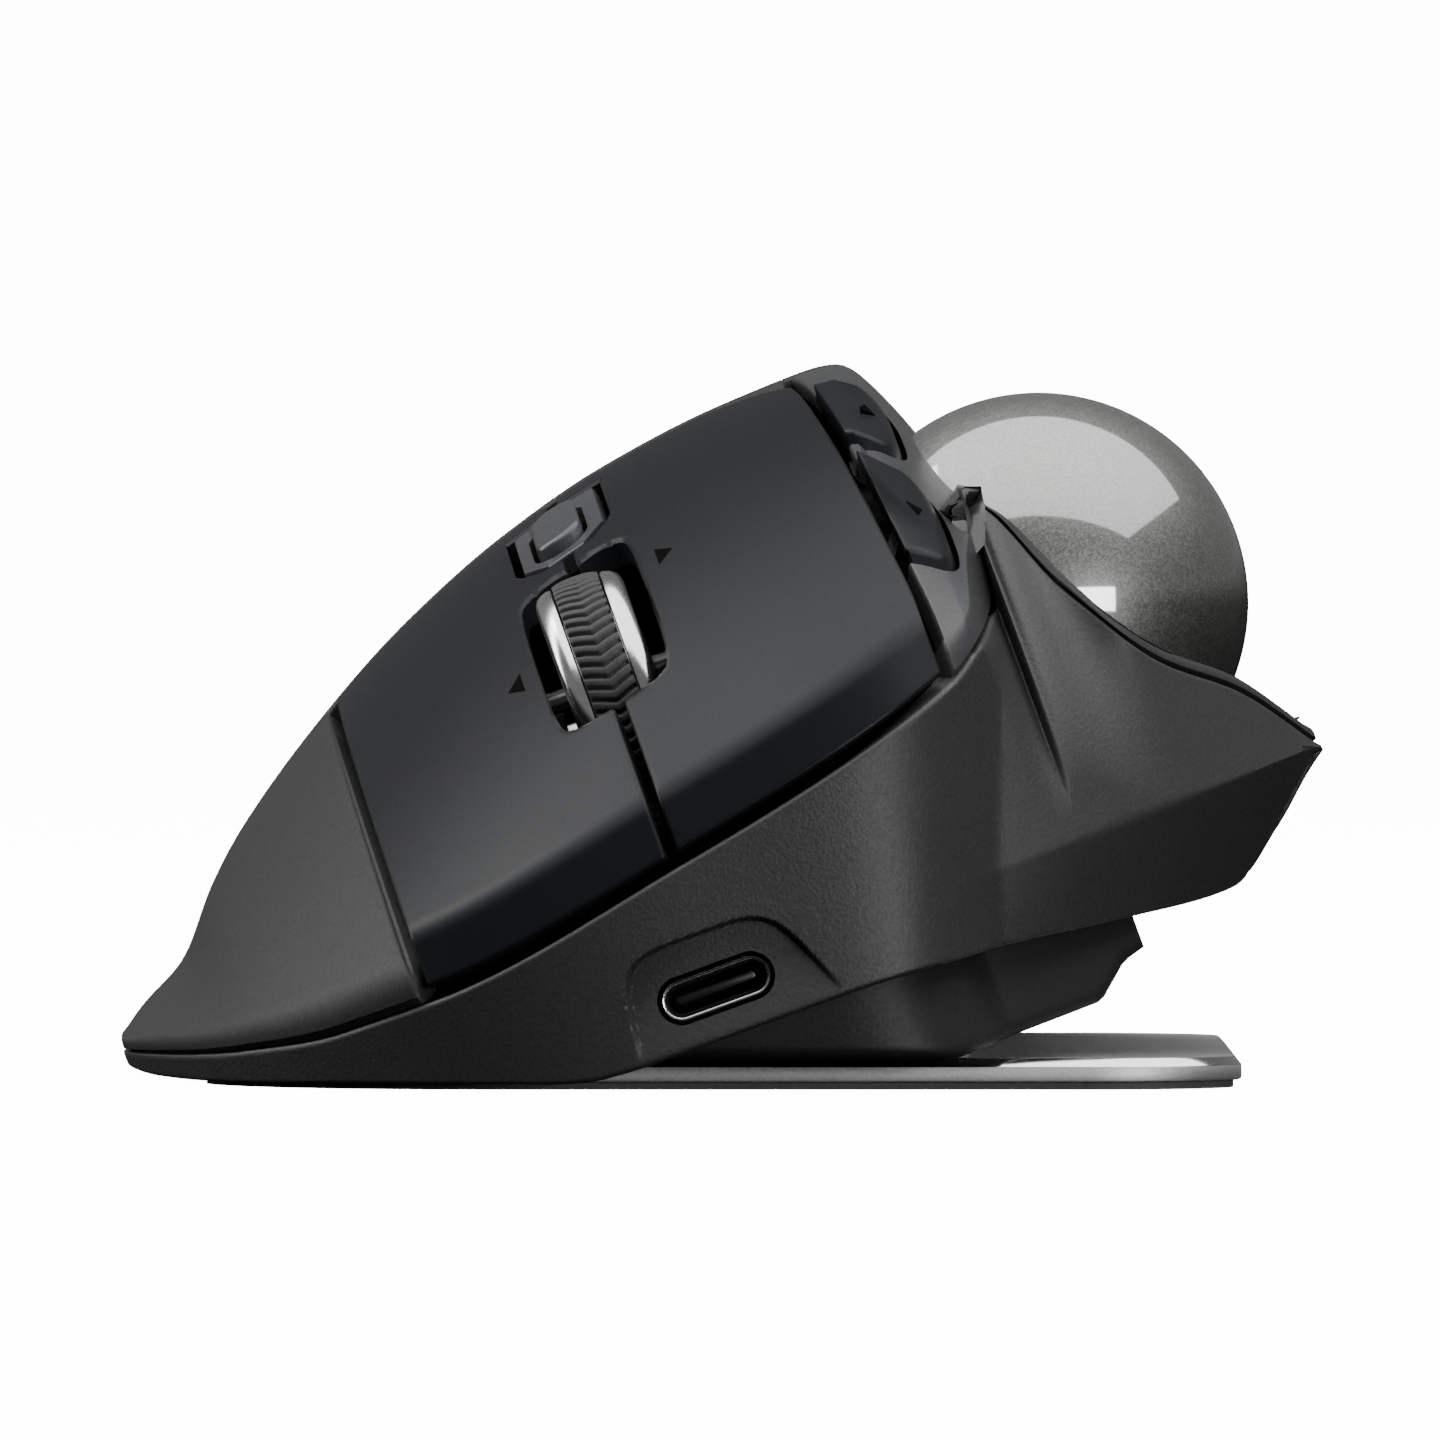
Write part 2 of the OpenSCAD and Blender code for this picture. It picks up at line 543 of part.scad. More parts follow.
// Wheel group: the cradle slides down onto its switch, the yoke rocks in it, the wheel turns in the yoke.
rock_drop = 13.1;
cradle_low = -14.75;
module at_wheel() translate(wheel_at) children();
module wheel_hub() {
    color("silver") in_housing() at_wheel() difference() {
        union() {
            along_u([0, 0, 0], wheel_r - 2.4, tread_w);
            for (s = [-1, 1])
                along_u([s * (tread_w + wheel_w) / 4, 0, 0], wheel_r - 0.4, (wheel_w - tread_w) / 2);
        }
        along_u([0, 0, 0], 1, 20);
    }
}
module wheel_tread() {
    color("#17181a") in_housing() at_wheel() difference() {
        along_u([0, 0, 0], wheel_r, tread_w - 0.04);
        along_u([0, 0, 0], wheel_r - 2.38, tread_w + 2);
    }
}
module wheel_axle() { color("lightgray") in_housing() at_wheel() along_u([0, 0, 0], 0.99, 14); }
module wheel_yoke() {
    color("#2a2b2e") in_housing() at_wheel() difference() {
        union() {
            for (s = [-1, 1]) {
                block([s * 5.4, 0, -rock_drop - 1], [1.8, 6, rock_drop + 3]);
                along_v([0, s * 5.4, -rock_drop], 1, 4);
                block([s * 8.2, -2.2, -rock_drop + 0.95], [4.8, 2, 0.8]);
            }
            block([0, 0, -rock_drop - 1], [12.6, 7, 0.8]);
        }
        along_u([0, 0, 0], 0.99 + fit, 20);
    }
}
module wheel_cradle() {
    color("#3a3b3f") in_housing() at_wheel() difference() {
        union() {
            for (s = [-1, 1]) {
                block([0, s * 6.1, cradle_low], [15.6, 1.8, 3.25]);
                block([s * 7.2, 0, cradle_low], [1.2, 14, 1.2]);
            }
            block([0, 8.4, cradle_low + 1.35], [5, 3.6, 1.4]);
        }
        along_v([0, 0, -rock_drop], 1 + fit, 15.2);
    }
}
module press_switch() {
    color("dimgray") in_housing() at_wheel() block([0, 9, board_w + board_t - wheel_at[2]], [4, 2.4, 1.25]);
}
module tilt_switches() {
    color("dimgray") in_housing() for (s = [-1, 1])
        block([wheel_at[0] + s * 9.6, -40, board_w + board_t], [3, 2.6, 2]);
}
module wheel_encoder() {
    color("#1f3b57") in_housing() block([-26.4, -34.4, board_w + board_t], [3, 8, 9]);
}

// Channel panel behind the wheel, its button, switch and lights.
channel_v = -16.4;
channel_size = [10.8, 4.1];
light_v = -8.6;
light_step = 1.3;
module channel_prism(room) {
    translate([slot_u, channel_v, 30]) linear_extrude(40)
        rotate(90) stadium(channel_size[0] + 2 * room, channel_size[1] + 2 * room);
}
module channel_panel() {
    us = steps(panel_u[0] + 0.1, panel_u[1] - 0.1, 4);
    color("#3a3c40") in_housing() difference() {
        top_slab(us, [for (u = us) panel_v[0] + 0.1], [for (u = us) panel_v[1] - 0.1], 8, 1.6);
        channel_prism(0.3);
        for (s = [-1, 0, 1]) along_w([slot_u + s * light_step, light_v, 30], 0.4, 40);
    }
}
module channel_button() {
    us = steps(slot_u - 3, slot_u + 3, 4);
    vs = steps(channel_v - 6, channel_v + 6, 6);
    color("#44464a") in_housing() intersection() {
        channel_prism(0);
        slab([for (u = us) [for (v = vs) [u, v, top_w(u, v) + 0.9]]],
            [for (u = us) [for (v = vs) [u, v, top_w(slot_u, channel_v) - 4]]]);
    }
}
module channel_switch() {
    color("dimgray") in_housing() block([slot_u, channel_v, 36.5], [4, 4, 8]);
}
module light_pipes() {
    color("white") in_housing() for (s = [-1, 0, 1])
        along_w([slot_u + s * light_step, light_v, top_w(slot_u, light_v) - 3.2], 0.35, 3.1);
}

base_plate();
base_pad();
ridge_rod();
bottom_shell();
front_fascia();
rear_fascia();
palm_shell();
side_frame();
thumb_rest();
ball_cup();
cup_bearings();
inner_frame();
button_rod();
main_board();
port_board();
port_shell();
port_tongue();
battery();
tilt_magnets();
housing_screws();
board_screws();
sensor_board();
sensor_chip();
sensor_lens();
flex_cable();
left_switch();
right_switch();
press_switch();
tilt_switches();
wheel_encoder();
side_switches();
side_switch_board();
channel_panel();
channel_switch();
light_pipes();
precision_switch();
power_switch();
left_button();
right_button();
forward_button();
back_button();
channel_button();
precision_button();
power_slider();
wheel_cradle();
wheel_yoke();
wheel_hub();
wheel_tread();
wheel_axle();
ball();
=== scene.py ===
import math
import bmesh
import bpy
import numpy as np
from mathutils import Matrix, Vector


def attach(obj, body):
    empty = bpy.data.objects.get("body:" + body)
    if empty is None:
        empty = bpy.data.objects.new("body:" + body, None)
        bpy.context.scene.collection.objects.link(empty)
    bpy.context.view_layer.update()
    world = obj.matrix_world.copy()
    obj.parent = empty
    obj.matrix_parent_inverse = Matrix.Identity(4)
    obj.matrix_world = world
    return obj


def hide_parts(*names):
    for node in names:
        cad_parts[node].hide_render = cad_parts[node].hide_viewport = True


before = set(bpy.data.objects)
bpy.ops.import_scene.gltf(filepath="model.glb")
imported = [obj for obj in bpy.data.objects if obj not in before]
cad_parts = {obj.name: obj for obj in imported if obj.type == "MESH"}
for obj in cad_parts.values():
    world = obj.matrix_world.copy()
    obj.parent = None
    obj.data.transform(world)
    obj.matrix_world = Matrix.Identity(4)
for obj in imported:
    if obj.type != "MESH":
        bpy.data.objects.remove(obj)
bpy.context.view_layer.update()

# Studio: a pale sweep that runs from the desk up on all sides, a broad softbox overhead, a small one
# at the front right that shows in the ball, a weak one behind, and a strip at the left that draws the palm
# shell's edge.
# The camera stands far off and level with the mouse, with a long lens.
camera = bpy.data.objects.new("camera", bpy.data.cameras.new("camera"))
bpy.context.scene.collection.objects.link(camera)
bpy.context.scene.camera = camera
stand_off = 2.5
view_width = 0.1169
look_at = np.array([0.0001, 0.0, 0.0289])
rise_angle = math.radians(0.6)
camera.data.lens = camera.data.sensor_width * stand_off / view_width
camera.data.clip_end = 40
camera.location = look_at + stand_off * np.array([0, -math.cos(rise_angle), math.sin(rise_angle)])
camera.rotation_euler = (math.pi / 2 - rise_angle, 0, 0)


class Flow:
    """One socket in a finish, so that shader maths reads as plain sums."""

    def __init__(self, tree, socket=None):
        self.tree, self.socket = tree, socket

    def node(self, kind, settings=(), out=0, **values):
        made = self.tree.nodes.new(kind)
        for key, value in dict(settings).items():
            if key == "stops":
                for i, (place, tone) in enumerate(value):
                    stop = made.color_ramp.elements[i] if i < 2 else made.color_ramp.elements.new(place)
                    stop.position, stop.color = place, (tone, tone, tone, 1)
            else:
                setattr(made, key, value)
        for key, value in values.items():
            port = made.inputs[int(key[2:])] if key[2:].isdigit() else made.inputs[key.replace("_", " ")]
            if isinstance(value, Flow):
                self.tree.links.new(value.socket, port)
            else:
                port.default_value = value
        return Flow(self.tree, made.outputs[out])

    def sum(self, operation, first, second):
        wide = any(isinstance(x, Flow) and x.socket.type in ("VECTOR", "RGBA") for x in (first, second))
        if wide:
            first, second = ((x,) * 3 if isinstance(x, (int, float)) else x for x in (first, second))
        return self.node("ShaderNodeVectorMath" if wide else "ShaderNodeMath", {"operation": operation},
                         in0=first, in1=second)

    def __add__(self, other): return self.sum("ADD", self, other)
    def __radd__(self, other): return self.sum("ADD", other, self)
    def __sub__(self, other): return self.sum("SUBTRACT", self, other)
    def __rsub__(self, other): return self.sum("SUBTRACT", other, self)
    def __mul__(self, other): return self.sum("MULTIPLY", self, other)
    def __rmul__(self, other): return self.sum("MULTIPLY", other, self)

    def mix(self, low, high):
        return self.node("ShaderNodeMix", {"data_type": "RGBA"}, out=2, in0=self, in6=low, in7=high)


def finish_of(name, **constants):
    """A new material, its nodes to build on, and its shader, with the values that are the same all over."""
    material = bpy.data.materials.new(name)
    material.use_nodes = True
    tree = material.node_tree
    shader = tree.nodes["Principled BSDF"]
    for key, value in constants.items():
        shader.inputs[key.replace("_", " ")].default_value = value
    return material, Flow(tree), shader


def feed(flow, shader, **parts):
    for key, value in parts.items():
        flow.tree.links.new(value.socket, shader.inputs[key.replace("_", " ")])


def solid(name, points, faces, crease=38):
    """A mesh object from points in metres, its faces turned outward and shaded smooth but for its creases."""
    mesh = bpy.data.meshes.new(name)
    mesh.from_pydata([tuple(p) for p in np.reshape(points, (-1, 3))], [], faces)
    shape = bmesh.new()
    shape.from_mesh(mesh)
    bmesh.ops.recalc_face_normals(shape, faces=shape.faces)
    shape.to_mesh(mesh)
    shape.free()
    mesh.shade_smooth()
    mesh.set_sharp_from_angle(angle=math.radians(crease))
    thing = bpy.data.objects.new(name, mesh)
    bpy.context.scene.collection.objects.link(thing)
    return thing


sweep_profile = [(0.05, 0.0), (9.0, 0.0), (11.0, 0.8), (12.0, 2.4), (12.4, 6.0), (12.4, 12.0)]
sweep_sides = 72
around_sweep = np.linspace(0, 2 * math.pi, sweep_sides, endpoint=False)
sweep_points = [[r * math.cos(a), r * math.sin(a), z] for r, z in sweep_profile for a in around_sweep]
sweep_faces = [[ring + j, ring + (j + 1) % sweep_sides, ring + sweep_sides + (j + 1) % sweep_sides,
                ring + sweep_sides + j]
               for ring in range(0, sweep_sides * (len(sweep_profile) - 1), sweep_sides)
               for j in range(sweep_sides)]
sweep = solid("studio_sweep", sweep_points, [list(range(sweep_sides))] + sweep_faces)
paper, flow, shader = finish_of("studio_paper", Roughness=0.9, Emission_Strength=14.0)
shader.inputs["Emission Color"].default_value = (1, 1, 1, 1)
fibre = flow.node("ShaderNodeTexNoise", Vector=flow.node("ShaderNodeTexCoord", out="Object"), Scale=900.0)
feed(flow, shader, Base_Color=fibre.mix((0.86, 0.86, 0.86, 1), (0.9, 0.9, 0.9, 1)))
sweep.data.materials.append(paper)
sweep.visible_diffuse = sweep.visible_glossy = False


def softbox(name, place, target, width, height, watts):
    lamp = bpy.data.lights.new(name, "AREA")
    lamp.shape, lamp.size, lamp.size_y, lamp.energy = "RECTANGLE", width, height, watts
    thing = bpy.data.objects.new(name, lamp)
    bpy.context.scene.collection.objects.link(thing)
    thing.location = place
    thing.rotation_euler = (Vector(target) - Vector(place)).to_track_quat("-Z", "Y").to_euler()
    return thing


softbox("overhead_box", (0.12, -0.09, 0.8), (0.12, -0.09, 0.0), 1.9, 1.18, 21.0)
softbox("front_box", (0.42, -0.7, 0.07), (0.0, 0.0, 0.03), 0.34, 0.17, 3.2)
softbox("rear_fill", (0.7, 1.0, 0.4), (0.0, 0.0, 0.03), 1.2, 0.6, 7.0).visible_glossy = False
softbox("side_strip", (-0.8, 0.25, 0.45), (0.0, 0.0, 0.03), 0.3, 0.9, 6.0)
world = bpy.data.worlds.new("studio_air")
bpy.context.scene.world = world
world.use_nodes = True
air = Flow(world.node_tree)
up = air.node("ShaderNodeSeparateXYZ", out=2, Vector=air.node("ShaderNodeTexCoord", out="Generated"))
glow = air.node("ShaderNodeValToRGB", {"stops": [(0.0, 0.004), (0.1, 0.2), (0.7, 0.12)]}, Fac=up)
world.node_tree.links.new(glow.socket, world.node_tree.nodes["Background"].inputs["Color"])

# Tilt plate: 1.9 mm steel, stamped to a D with broad corners on the palm side and tight ones on the thumb
# side. Its faces are bead-blasted and its upper edge is a polished chamfer. A groove holds the ridge rod.
plate_size = (83.6, 102.0)
pad_thick, plate_thick = 0.6, 1.9
plate_corners = (25.0, 12.0)


def plate_outline(inset, around=24):
    """Plan of the plate, inset from its edge, in millimetres, counter-clockwise."""
    w, d = plate_size[0] / 2 - inset, plate_size[1] / 2 - inset
    loop = []
    for sx, sy, start in ((1, -1, -90), (1, 1, 0), (-1, 1, 90), (-1, -1, 180)):
        r = plate_corners[0 if sx < 0 else 1] - inset
        loop += [(sx * (w - r) + r * math.cos(a), sy * (d - r) + r * math.sin(a))
                 for a in np.radians(np.linspace(start, start + 90, around))]
    return loop


def stack(name, loops, crease=38):
    """A closed solid through loops of equal length, capped at both ends."""
    n = len(loops[0])
    faces = [[i * n + j, i * n + (j + 1) % n, (i + 1) * n + (j + 1) % n, (i + 1) * n + j]
             for i in range(len(loops) - 1) for j in range(n)]
    faces += [list(range(n)), list(range((len(loops) - 1) * n, len(loops) * n))]
    return solid(name, np.array([p for loop in loops for p in loop]) / 1000, faces, crease)


def cut(piece, *tools):
    """Takes tools' volumes out of piece, and leaves a plain mesh."""
    for tool in tools:
        step = piece.modifiers.new("cut", "BOOLEAN")
        step.operation, step.solver, step.object = "DIFFERENCE", "MANIFOLD", tool
    bpy.context.view_layer.update()
    finishes = list(piece.data.materials)
    mesh = bpy.data.meshes.new_from_object(piece.evaluated_get(bpy.context.evaluated_depsgraph_get()))
    piece.modifiers.clear()
    piece.data = mesh
    mesh.materials.clear()
    for finish in finishes:
        mesh.materials.append(finish)
    mesh.shade_smooth()
    mesh.set_sharp_from_angle(angle=math.radians(30))
    for tool in tools:
        bpy.data.objects.remove(tool)
    return piece


plate_top = pad_thick + plate_thick
plate = stack("tilt_plate", [[(x, y, z) for x, y in plate_outline(inset)] for inset, z in (
    (0.25, pad_thick), (0.06, pad_thick + 0.08), (0.0, pad_thick + 0.25), (0.0, plate_top - 0.72),
    (0.05, plate_top - 0.62), (0.52, plate_top - 0.1), (0.66, plate_top))], 20)
ridge_x = 18.75
groove_half, rod_radius = 44.5, 1.2
groove_radius = rod_radius + 0.05
groove_circle = [(ridge_x + groove_radius * math.cos(a), plate_top + groove_radius * math.sin(a))
                 for a in np.radians(np.arange(0, 360, 10))]
groove = stack("groove_tool", [[(x, y, z) for x, z in groove_circle] for y in (-groove_half, groove_half)])
cut(plate, groove)
blasted, flow, shader = finish_of("blasted_steel", Metallic=1.0, Specular_IOR_Level=0.6)
spot = flow.node("ShaderNodeTexCoord", out="Object")
peen = flow.node("ShaderNodeTexNoise", Vector=spot, Scale=3800.0, Detail=2.0, Roughness=0.7)
cloud = flow.node("ShaderNodeTexNoise", Vector=spot, Scale=45.0, Detail=3.0)
edge = flow.node("ShaderNodeValToRGB", {"stops": [(0.5, 0.0), (0.58, 1.0)]},
                 Fac=flow.node("ShaderNodeNewGeometry", out="Pointiness"))
slope = flow.node("ShaderNodeSeparateXYZ", out=2, Vector=flow.node("ShaderNodeNewGeometry", out="Normal"))
chamfer = flow.node("ShaderNodeValToRGB", {"stops": [(0.3, 0.0), (0.4, 1.0), (0.88, 1.0), (0.95, 0.0)]},
                    Fac=slope)
tone = (0.42 + 0.25 * peen + 0.06 * cloud + 0.18 * chamfer)
feed(flow, shader, Base_Color=tone * flow.node("ShaderNodeCombineXYZ", X=1.0, Y=1.0, Z=1.015),
     Roughness=0.56 - 0.42 * chamfer + 0.06 * cloud - 0.1 * edge,
     Normal=flow.node("ShaderNodeBump", Strength=0.25, Distance=0.00006, Height=peen * (1 - chamfer)))
plate.data.materials.append(blasted)
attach(plate, "base")
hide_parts("base_plate")


# Foot pad: 0.6 mm of dense matt rubber, glued under the plate and a little smaller than it all round.
def moulded(name, tone, rough, grain, depth, speck=0.0, edge_highlight=0.3, shine=0.5):
    """A moulded plastic or rubber: spark-eroded grain, faint clouding, edges polished by handling (less
    rough) and lightened by a painted highlight.
    """
    material, flow, shader = finish_of(name, Specular_IOR_Level=shine)
    spot = flow.node("ShaderNodeTexCoord", out="Object")
    fine = flow.node("ShaderNodeTexNoise", Vector=spot, Scale=grain, Detail=2.0, Roughness=0.6)
    cloud = flow.node("ShaderNodeTexNoise", Vector=spot, Scale=70.0, Detail=3.0, Roughness=0.55)
    edge = flow.node("ShaderNodeValToRGB", {"stops": [(0.52, 0.0), (0.62, 1.0)]},
                     Fac=flow.node("ShaderNodeNewGeometry", out="Pointiness"))
    pits = flow.node("ShaderNodeValToRGB", {"stops": [(0.35, 0.0), (0.65, 1.0)]}, Fac=fine)
    dark = tuple(c * (0.88 - speck) for c in tone) + (1,)
    light = tuple(c * (1.12 + speck) for c in tone) + (1,)
    # A lighter copy of the tone for the convex edges: a painted edge highlight.
    highlight_tone = tuple(min(1, c * 1.5 + 0.004) for c in tone) + (1,)
    body = (0.7 * pits + 0.3 * cloud).mix(dark, light)
    # Convex edges, found by pointiness, are mixed toward the lighter tone (painted highlight) and made less
    # rough (polish from handling).
    feed(flow, shader, Base_Color=(edge * edge_highlight).mix(body, highlight_tone),
         Roughness=rough + 0.08 * cloud - 0.05 * pits - 0.14 * edge,
         Normal=flow.node("ShaderNodeBump", Strength=depth, Distance=0.00005, Height=fine))
    return material


def dress(finish, *nodes):
    """Gives CAD nodes their finish."""
    for node in nodes:
        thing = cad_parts[node]
        for slot in thing.material_slots:
            slot.material = finish


dress(moulded("pad_rubber", (0.06, 0.062, 0.066), 0.78, 2600.0, 0.5), "base_pad")


# Ridge rod, button rod, wheel axle, magnets and screws: turned or plated steel, bright, with lathe marks
# along their length. They stay as they are in the frame.
def machined(name, tone, rough, marks):
    """Bare metal with fine tool marks and faint clouding in tone and roughness."""
    material, flow, shader = finish_of(name, Metallic=1.0)
    spot = flow.node("ShaderNodeTexCoord", out="Object")
    stretched = spot * flow.node("ShaderNodeCombineXYZ", X=1.0, Y=0.08, Z=1.0)
    cuts = flow.node("ShaderNodeTexNoise", Vector=stretched, Scale=marks, Detail=2.0)
    cloud = flow.node("ShaderNodeTexNoise", Vector=spot, Scale=90.0, Detail=3.0)
    dark = tuple(c * 0.8 for c in tone) + (1,)
    feed(flow, shader, Base_Color=(0.5 * cuts + 0.5 * cloud).mix(dark, tuple(tone) + (1,)),
         Roughness=rough + 0.12 * cloud,
         Normal=flow.node("ShaderNodeBump", Strength=0.15, Distance=0.00003, Height=cuts))
    return material


dress(machined("turned_steel", (0.62, 0.62, 0.63), 0.24, 3000.0), "ridge_rod", "button_rod", "wheel_axle",
      "housing_screws", "board_screws")
dress(machined("magnet_plating", (0.66, 0.65, 0.62), 0.2, 1200.0), "tilt_magnets")

# Bottom shell: the moulded tray whose two flat facets rock on the ridge, in the darkest plastic. It is seen
# only from below and under the thumb side, and its mesh follows the walls that it closes.
tray_plastic = moulded("tray_plastic", (0.012, 0.0125, 0.0135), 0.5, 3000.0, 0.35, 0.05, 0.2, 0.3)


# Boards, battery, cable and switches inside: black solder mask with faint tracks, a foil pouch with creases,
# and moulded component cases. None shows from outside save the main board under the wheel well, where its
# near-black mask is partly painted shade.
def shade_black_solder_mask():
    material, flow, shader = finish_of("shade_black_solder_mask", Coat_Weight=0.4)
    spot = flow.node("ShaderNodeTexCoord", out="Object")
    tracks = flow.node("ShaderNodeTexBrick", {"offset": 0.5}, out="Fac", Vector=spot, Scale=220.0,
                       Mortar_Size=0.02)
    cloud = flow.node("ShaderNodeTexNoise", Vector=spot, Scale=300.0)
    # The near-black mask is the board's colour and also painted shade: it keeps the board seen through the
    # wheel well as dark as shade.
    feed(flow, shader, Base_Color=tracks.mix((0.004, 0.006, 0.005, 1), (0.009, 0.013, 0.011, 1)),
         Roughness=0.3 + 0.15 * cloud,
         Normal=flow.node("ShaderNodeBump", Strength=0.3, Distance=0.00003, Height=tracks))
    return material


dress(shade_black_solder_mask(), "main_board", "port_board", "sensor_board", "side_switch_board")
foil, flow, shader = finish_of("battery_foil", Metallic=0.9)
spot = flow.node("ShaderNodeTexCoord", out="Object")
crumple = flow.node("ShaderNodeTexNoise", Vector=spot, Scale=180.0, Detail=4.0)
feed(flow, shader, Base_Color=crumple.mix((0.3, 0.32, 0.35, 1), (0.5, 0.52, 0.55, 1)),
     Roughness=0.28 + 0.2 * crumple,
     Normal=flow.node("ShaderNodeBump", Strength=0.5, Distance=0.0002, Height=crumple))
dress(foil, "battery")
dress(moulded("component_case", (0.035, 0.035, 0.038), 0.42, 2500.0, 0.2), "sensor_chip", "left_switch",
      "right_switch", "press_switch", "tilt_switches", "wheel_encoder", "side_switches", "channel_switch",
      "precision_switch", "power_switch")
dress(moulded("cable_film", (0.28, 0.12, 0.03), 0.35, 900.0, 0.1), "flex_cable")
dress(moulded("slider_cap", (0.42, 0.47, 0.47), 0.4, 2200.0, 0.2), "power_slider")
dress(moulded("frame_plastic", (0.02, 0.02, 0.021), 0.5, 2400.0, 0.3), "inner_frame", "wheel_cradle",
      "wheel_yoke")

# Ball cup, bearings and sensor: a black moulded cup with three ceramic bearings, and a clear window through
# which the sensor watches the ball's flecks.
dress(moulded("cup_plastic", (0.015, 0.015, 0.016), 0.38, 2600.0, 0.2), "ball_cup")
dress(moulded("bearing_ceramic", (0.8, 0.8, 0.78), 0.16, 1800.0, 0.05), "cup_bearings")
window, flow, shader = finish_of("sensor_window", Transmission_Weight=0.9, IOR=1.5)
haze = flow.node("ShaderNodeTexNoise", Vector=flow.node("ShaderNodeTexCoord", out="Object"), Scale=800.0)
feed(flow, shader, Base_Color=haze.mix((0.55, 0.6, 0.66, 1), (0.7, 0.75, 0.8, 1)),
     Roughness=0.05 + 0.08 * haze)
dress(window, "sensor_lens")


# Housing frame: the housing is drawn flat, u to the thumb, v to the palm and w up from the ridge, in
# millimetres, and seated at its lean. The ball is its first piece: phenolic resin, 34 mm, graphite grey
# with bright flecks under a clear gloss.
lean = math.radians(20)


def seat(points):
    """Points of the flat housing, in millimetres, as they rest on the plate, in metres."""
    u, v, w = np.moveaxis(np.asarray(points, float), -1, 0)
    return np.stack([ridge_x + u * math.cos(lean) - w * math.sin(lean), v,
                     plate_top + u * math.sin(lean) + w * math.cos(lean)], -1) / 1000


ball_radius, ball_at = 17.0, np.array([18.96, -10.0, 31.4])


def orb(name, centre, radius, n=56):
    """A sphere of even quads, as six bulged faces of a cube."""
    t = np.tan(np.linspace(-math.pi / 4, math.pi / 4, n))
    a, b = np.meshgrid(t, t, indexing="ij")
    points, faces = [], []
    for axis in range(3):
        for side in (-1, 1):
            face = np.empty((n, n, 3))
            face[..., axis], face[..., (axis + 1) % 3], face[..., (axis + 2) % 3] = side, a, b
            base = len(points) * n * n
            points.append(face / np.linalg.norm(face, axis=2, keepdims=True))
            faces += [[k, k + 1, k + n + 1, k + n] for row in range(base, base + n * (n - 1), n)
                      for k in range(row, row + n - 1)]
    thing = solid(name, seat(np.array(points).reshape(-1, 3) * radius + centre), faces)
    shape = bmesh.new()
    shape.from_mesh(thing.data)
    bmesh.ops.remove_doubles(shape, verts=shape.verts, dist=1e-6)
    bmesh.ops.recalc_face_normals(shape, faces=shape.faces)
    shape.to_mesh(thing.data)
    shape.free()
    return thing


ball = orb("track_ball", ball_at, ball_radius)
resin, flow, shader = finish_of("flecked_resin", Coat_Weight=1.0, Coat_Roughness=0.06, Coat_IOR=2.4,
                                Specular_IOR_Level=0.5)
spot = flow.node("ShaderNodeTexCoord", out="Object")
fleck = flow.node("ShaderNodeTexVoronoi", out="Color", Vector=spot, Scale=7500.0)
glint = flow.node("ShaderNodeSeparateColor", Color=fleck)
drift = flow.node("ShaderNodeTexNoise", Vector=spot, Scale=400.0, Detail=3.0)
spark = flow.node("ShaderNodeValToRGB", {"stops": [(0.2, 0.0), (0.95, 1.0)]}, Fac=glint)
feed(flow, shader, Base_Color=(0.8 * spark + 0.2 * drift).mix((0.13, 0.13, 0.122, 1), (0.27, 0.27, 0.255, 1)),
     Metallic=0.85 + 0.1 * spark, Roughness=0.4 + 0.1 * glint,
     Normal=flow.node("ShaderNodeBump", Strength=0.25, Distance=0.00004, Height=glint))
ball.data.materials.append(resin)
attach(ball, "ball")
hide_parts("ball")

# Lower walls: the front one sweeps from the little finger's side round the square nose, folds in under the
# shoulder and flares out as the thumb's wing; the rear one closes the palm end. Both are satin plastic
# with a visible spark-eroded grain, 2 mm thick, screwed to the bottom shell.
mid_u, left_half, nose_half, wing_half = -14.0, 49.2, 30.0, 50.6
corner_lean, wing_lean, crest_v = 0.38, 1.15, 8.0
body_v, nose_long, palm_long = 2.0, 68.0, 64.5
wing_v, wing_long, wing_rear_long = -8.0, 52.0, 74.5
crest_line = [(-63.2, 23.6), (-60.7, 25.4), (-56.4, 27.7), (-52, 32.7), (-48, 36.3), (-38, 43), (-30, 47.3),
              (-20, 51.3), (-10, 53.9), (0, 55.2), (8, 55.5), (10.8, 55), (12.8, 51.8), (14.4, 47.9),
              (16.3, 42.6), (21, 33.3), (26.2, 25.4), (31.8, 20.5), (36.6, 13.6)]
front_line = [(-63.2, 22.6), (-53.3, 19.8), (-45, 18.6), (-38, 18.6), (-15.5, 22), (9.6, 28), (13.2, 30.2),
              (15.4, 32.8), (16.3, 41.4), (21, 32.1), (26.2, 24.2), (31.8, 19.3), (36.6, 12.7)]
rear_line = [(-63.2, 22.6), (-53, 20.2), (-40, 17.5), (-25, 15), (0, 13.5), (16, 13), (28, 14), (34, 13.8),
             (36.6, 12.7)]
bottom_line = [(-63.2, 21.4), (-60.9, 20.1), (-45, 14.3), (-34, 10.4), (-30, 9), (-26.5, 8.2), (-22, 8),
               (-6.6, 8), (6.9, 7), (15.1, 5.8), (25.9, 4.5), (31, 7.7), (35.2, 11.3), (36.6, 12.3)]
lip_line = [(-63.2, 0.9), (-56, 1.8), (-45, 2.6), (-38, 2.6), (-37.7, 4.6), (9.6, 4.6), (10, 2.6), (15.4, 2),
            (16.3, 1.2), (36.6, 0.9)]


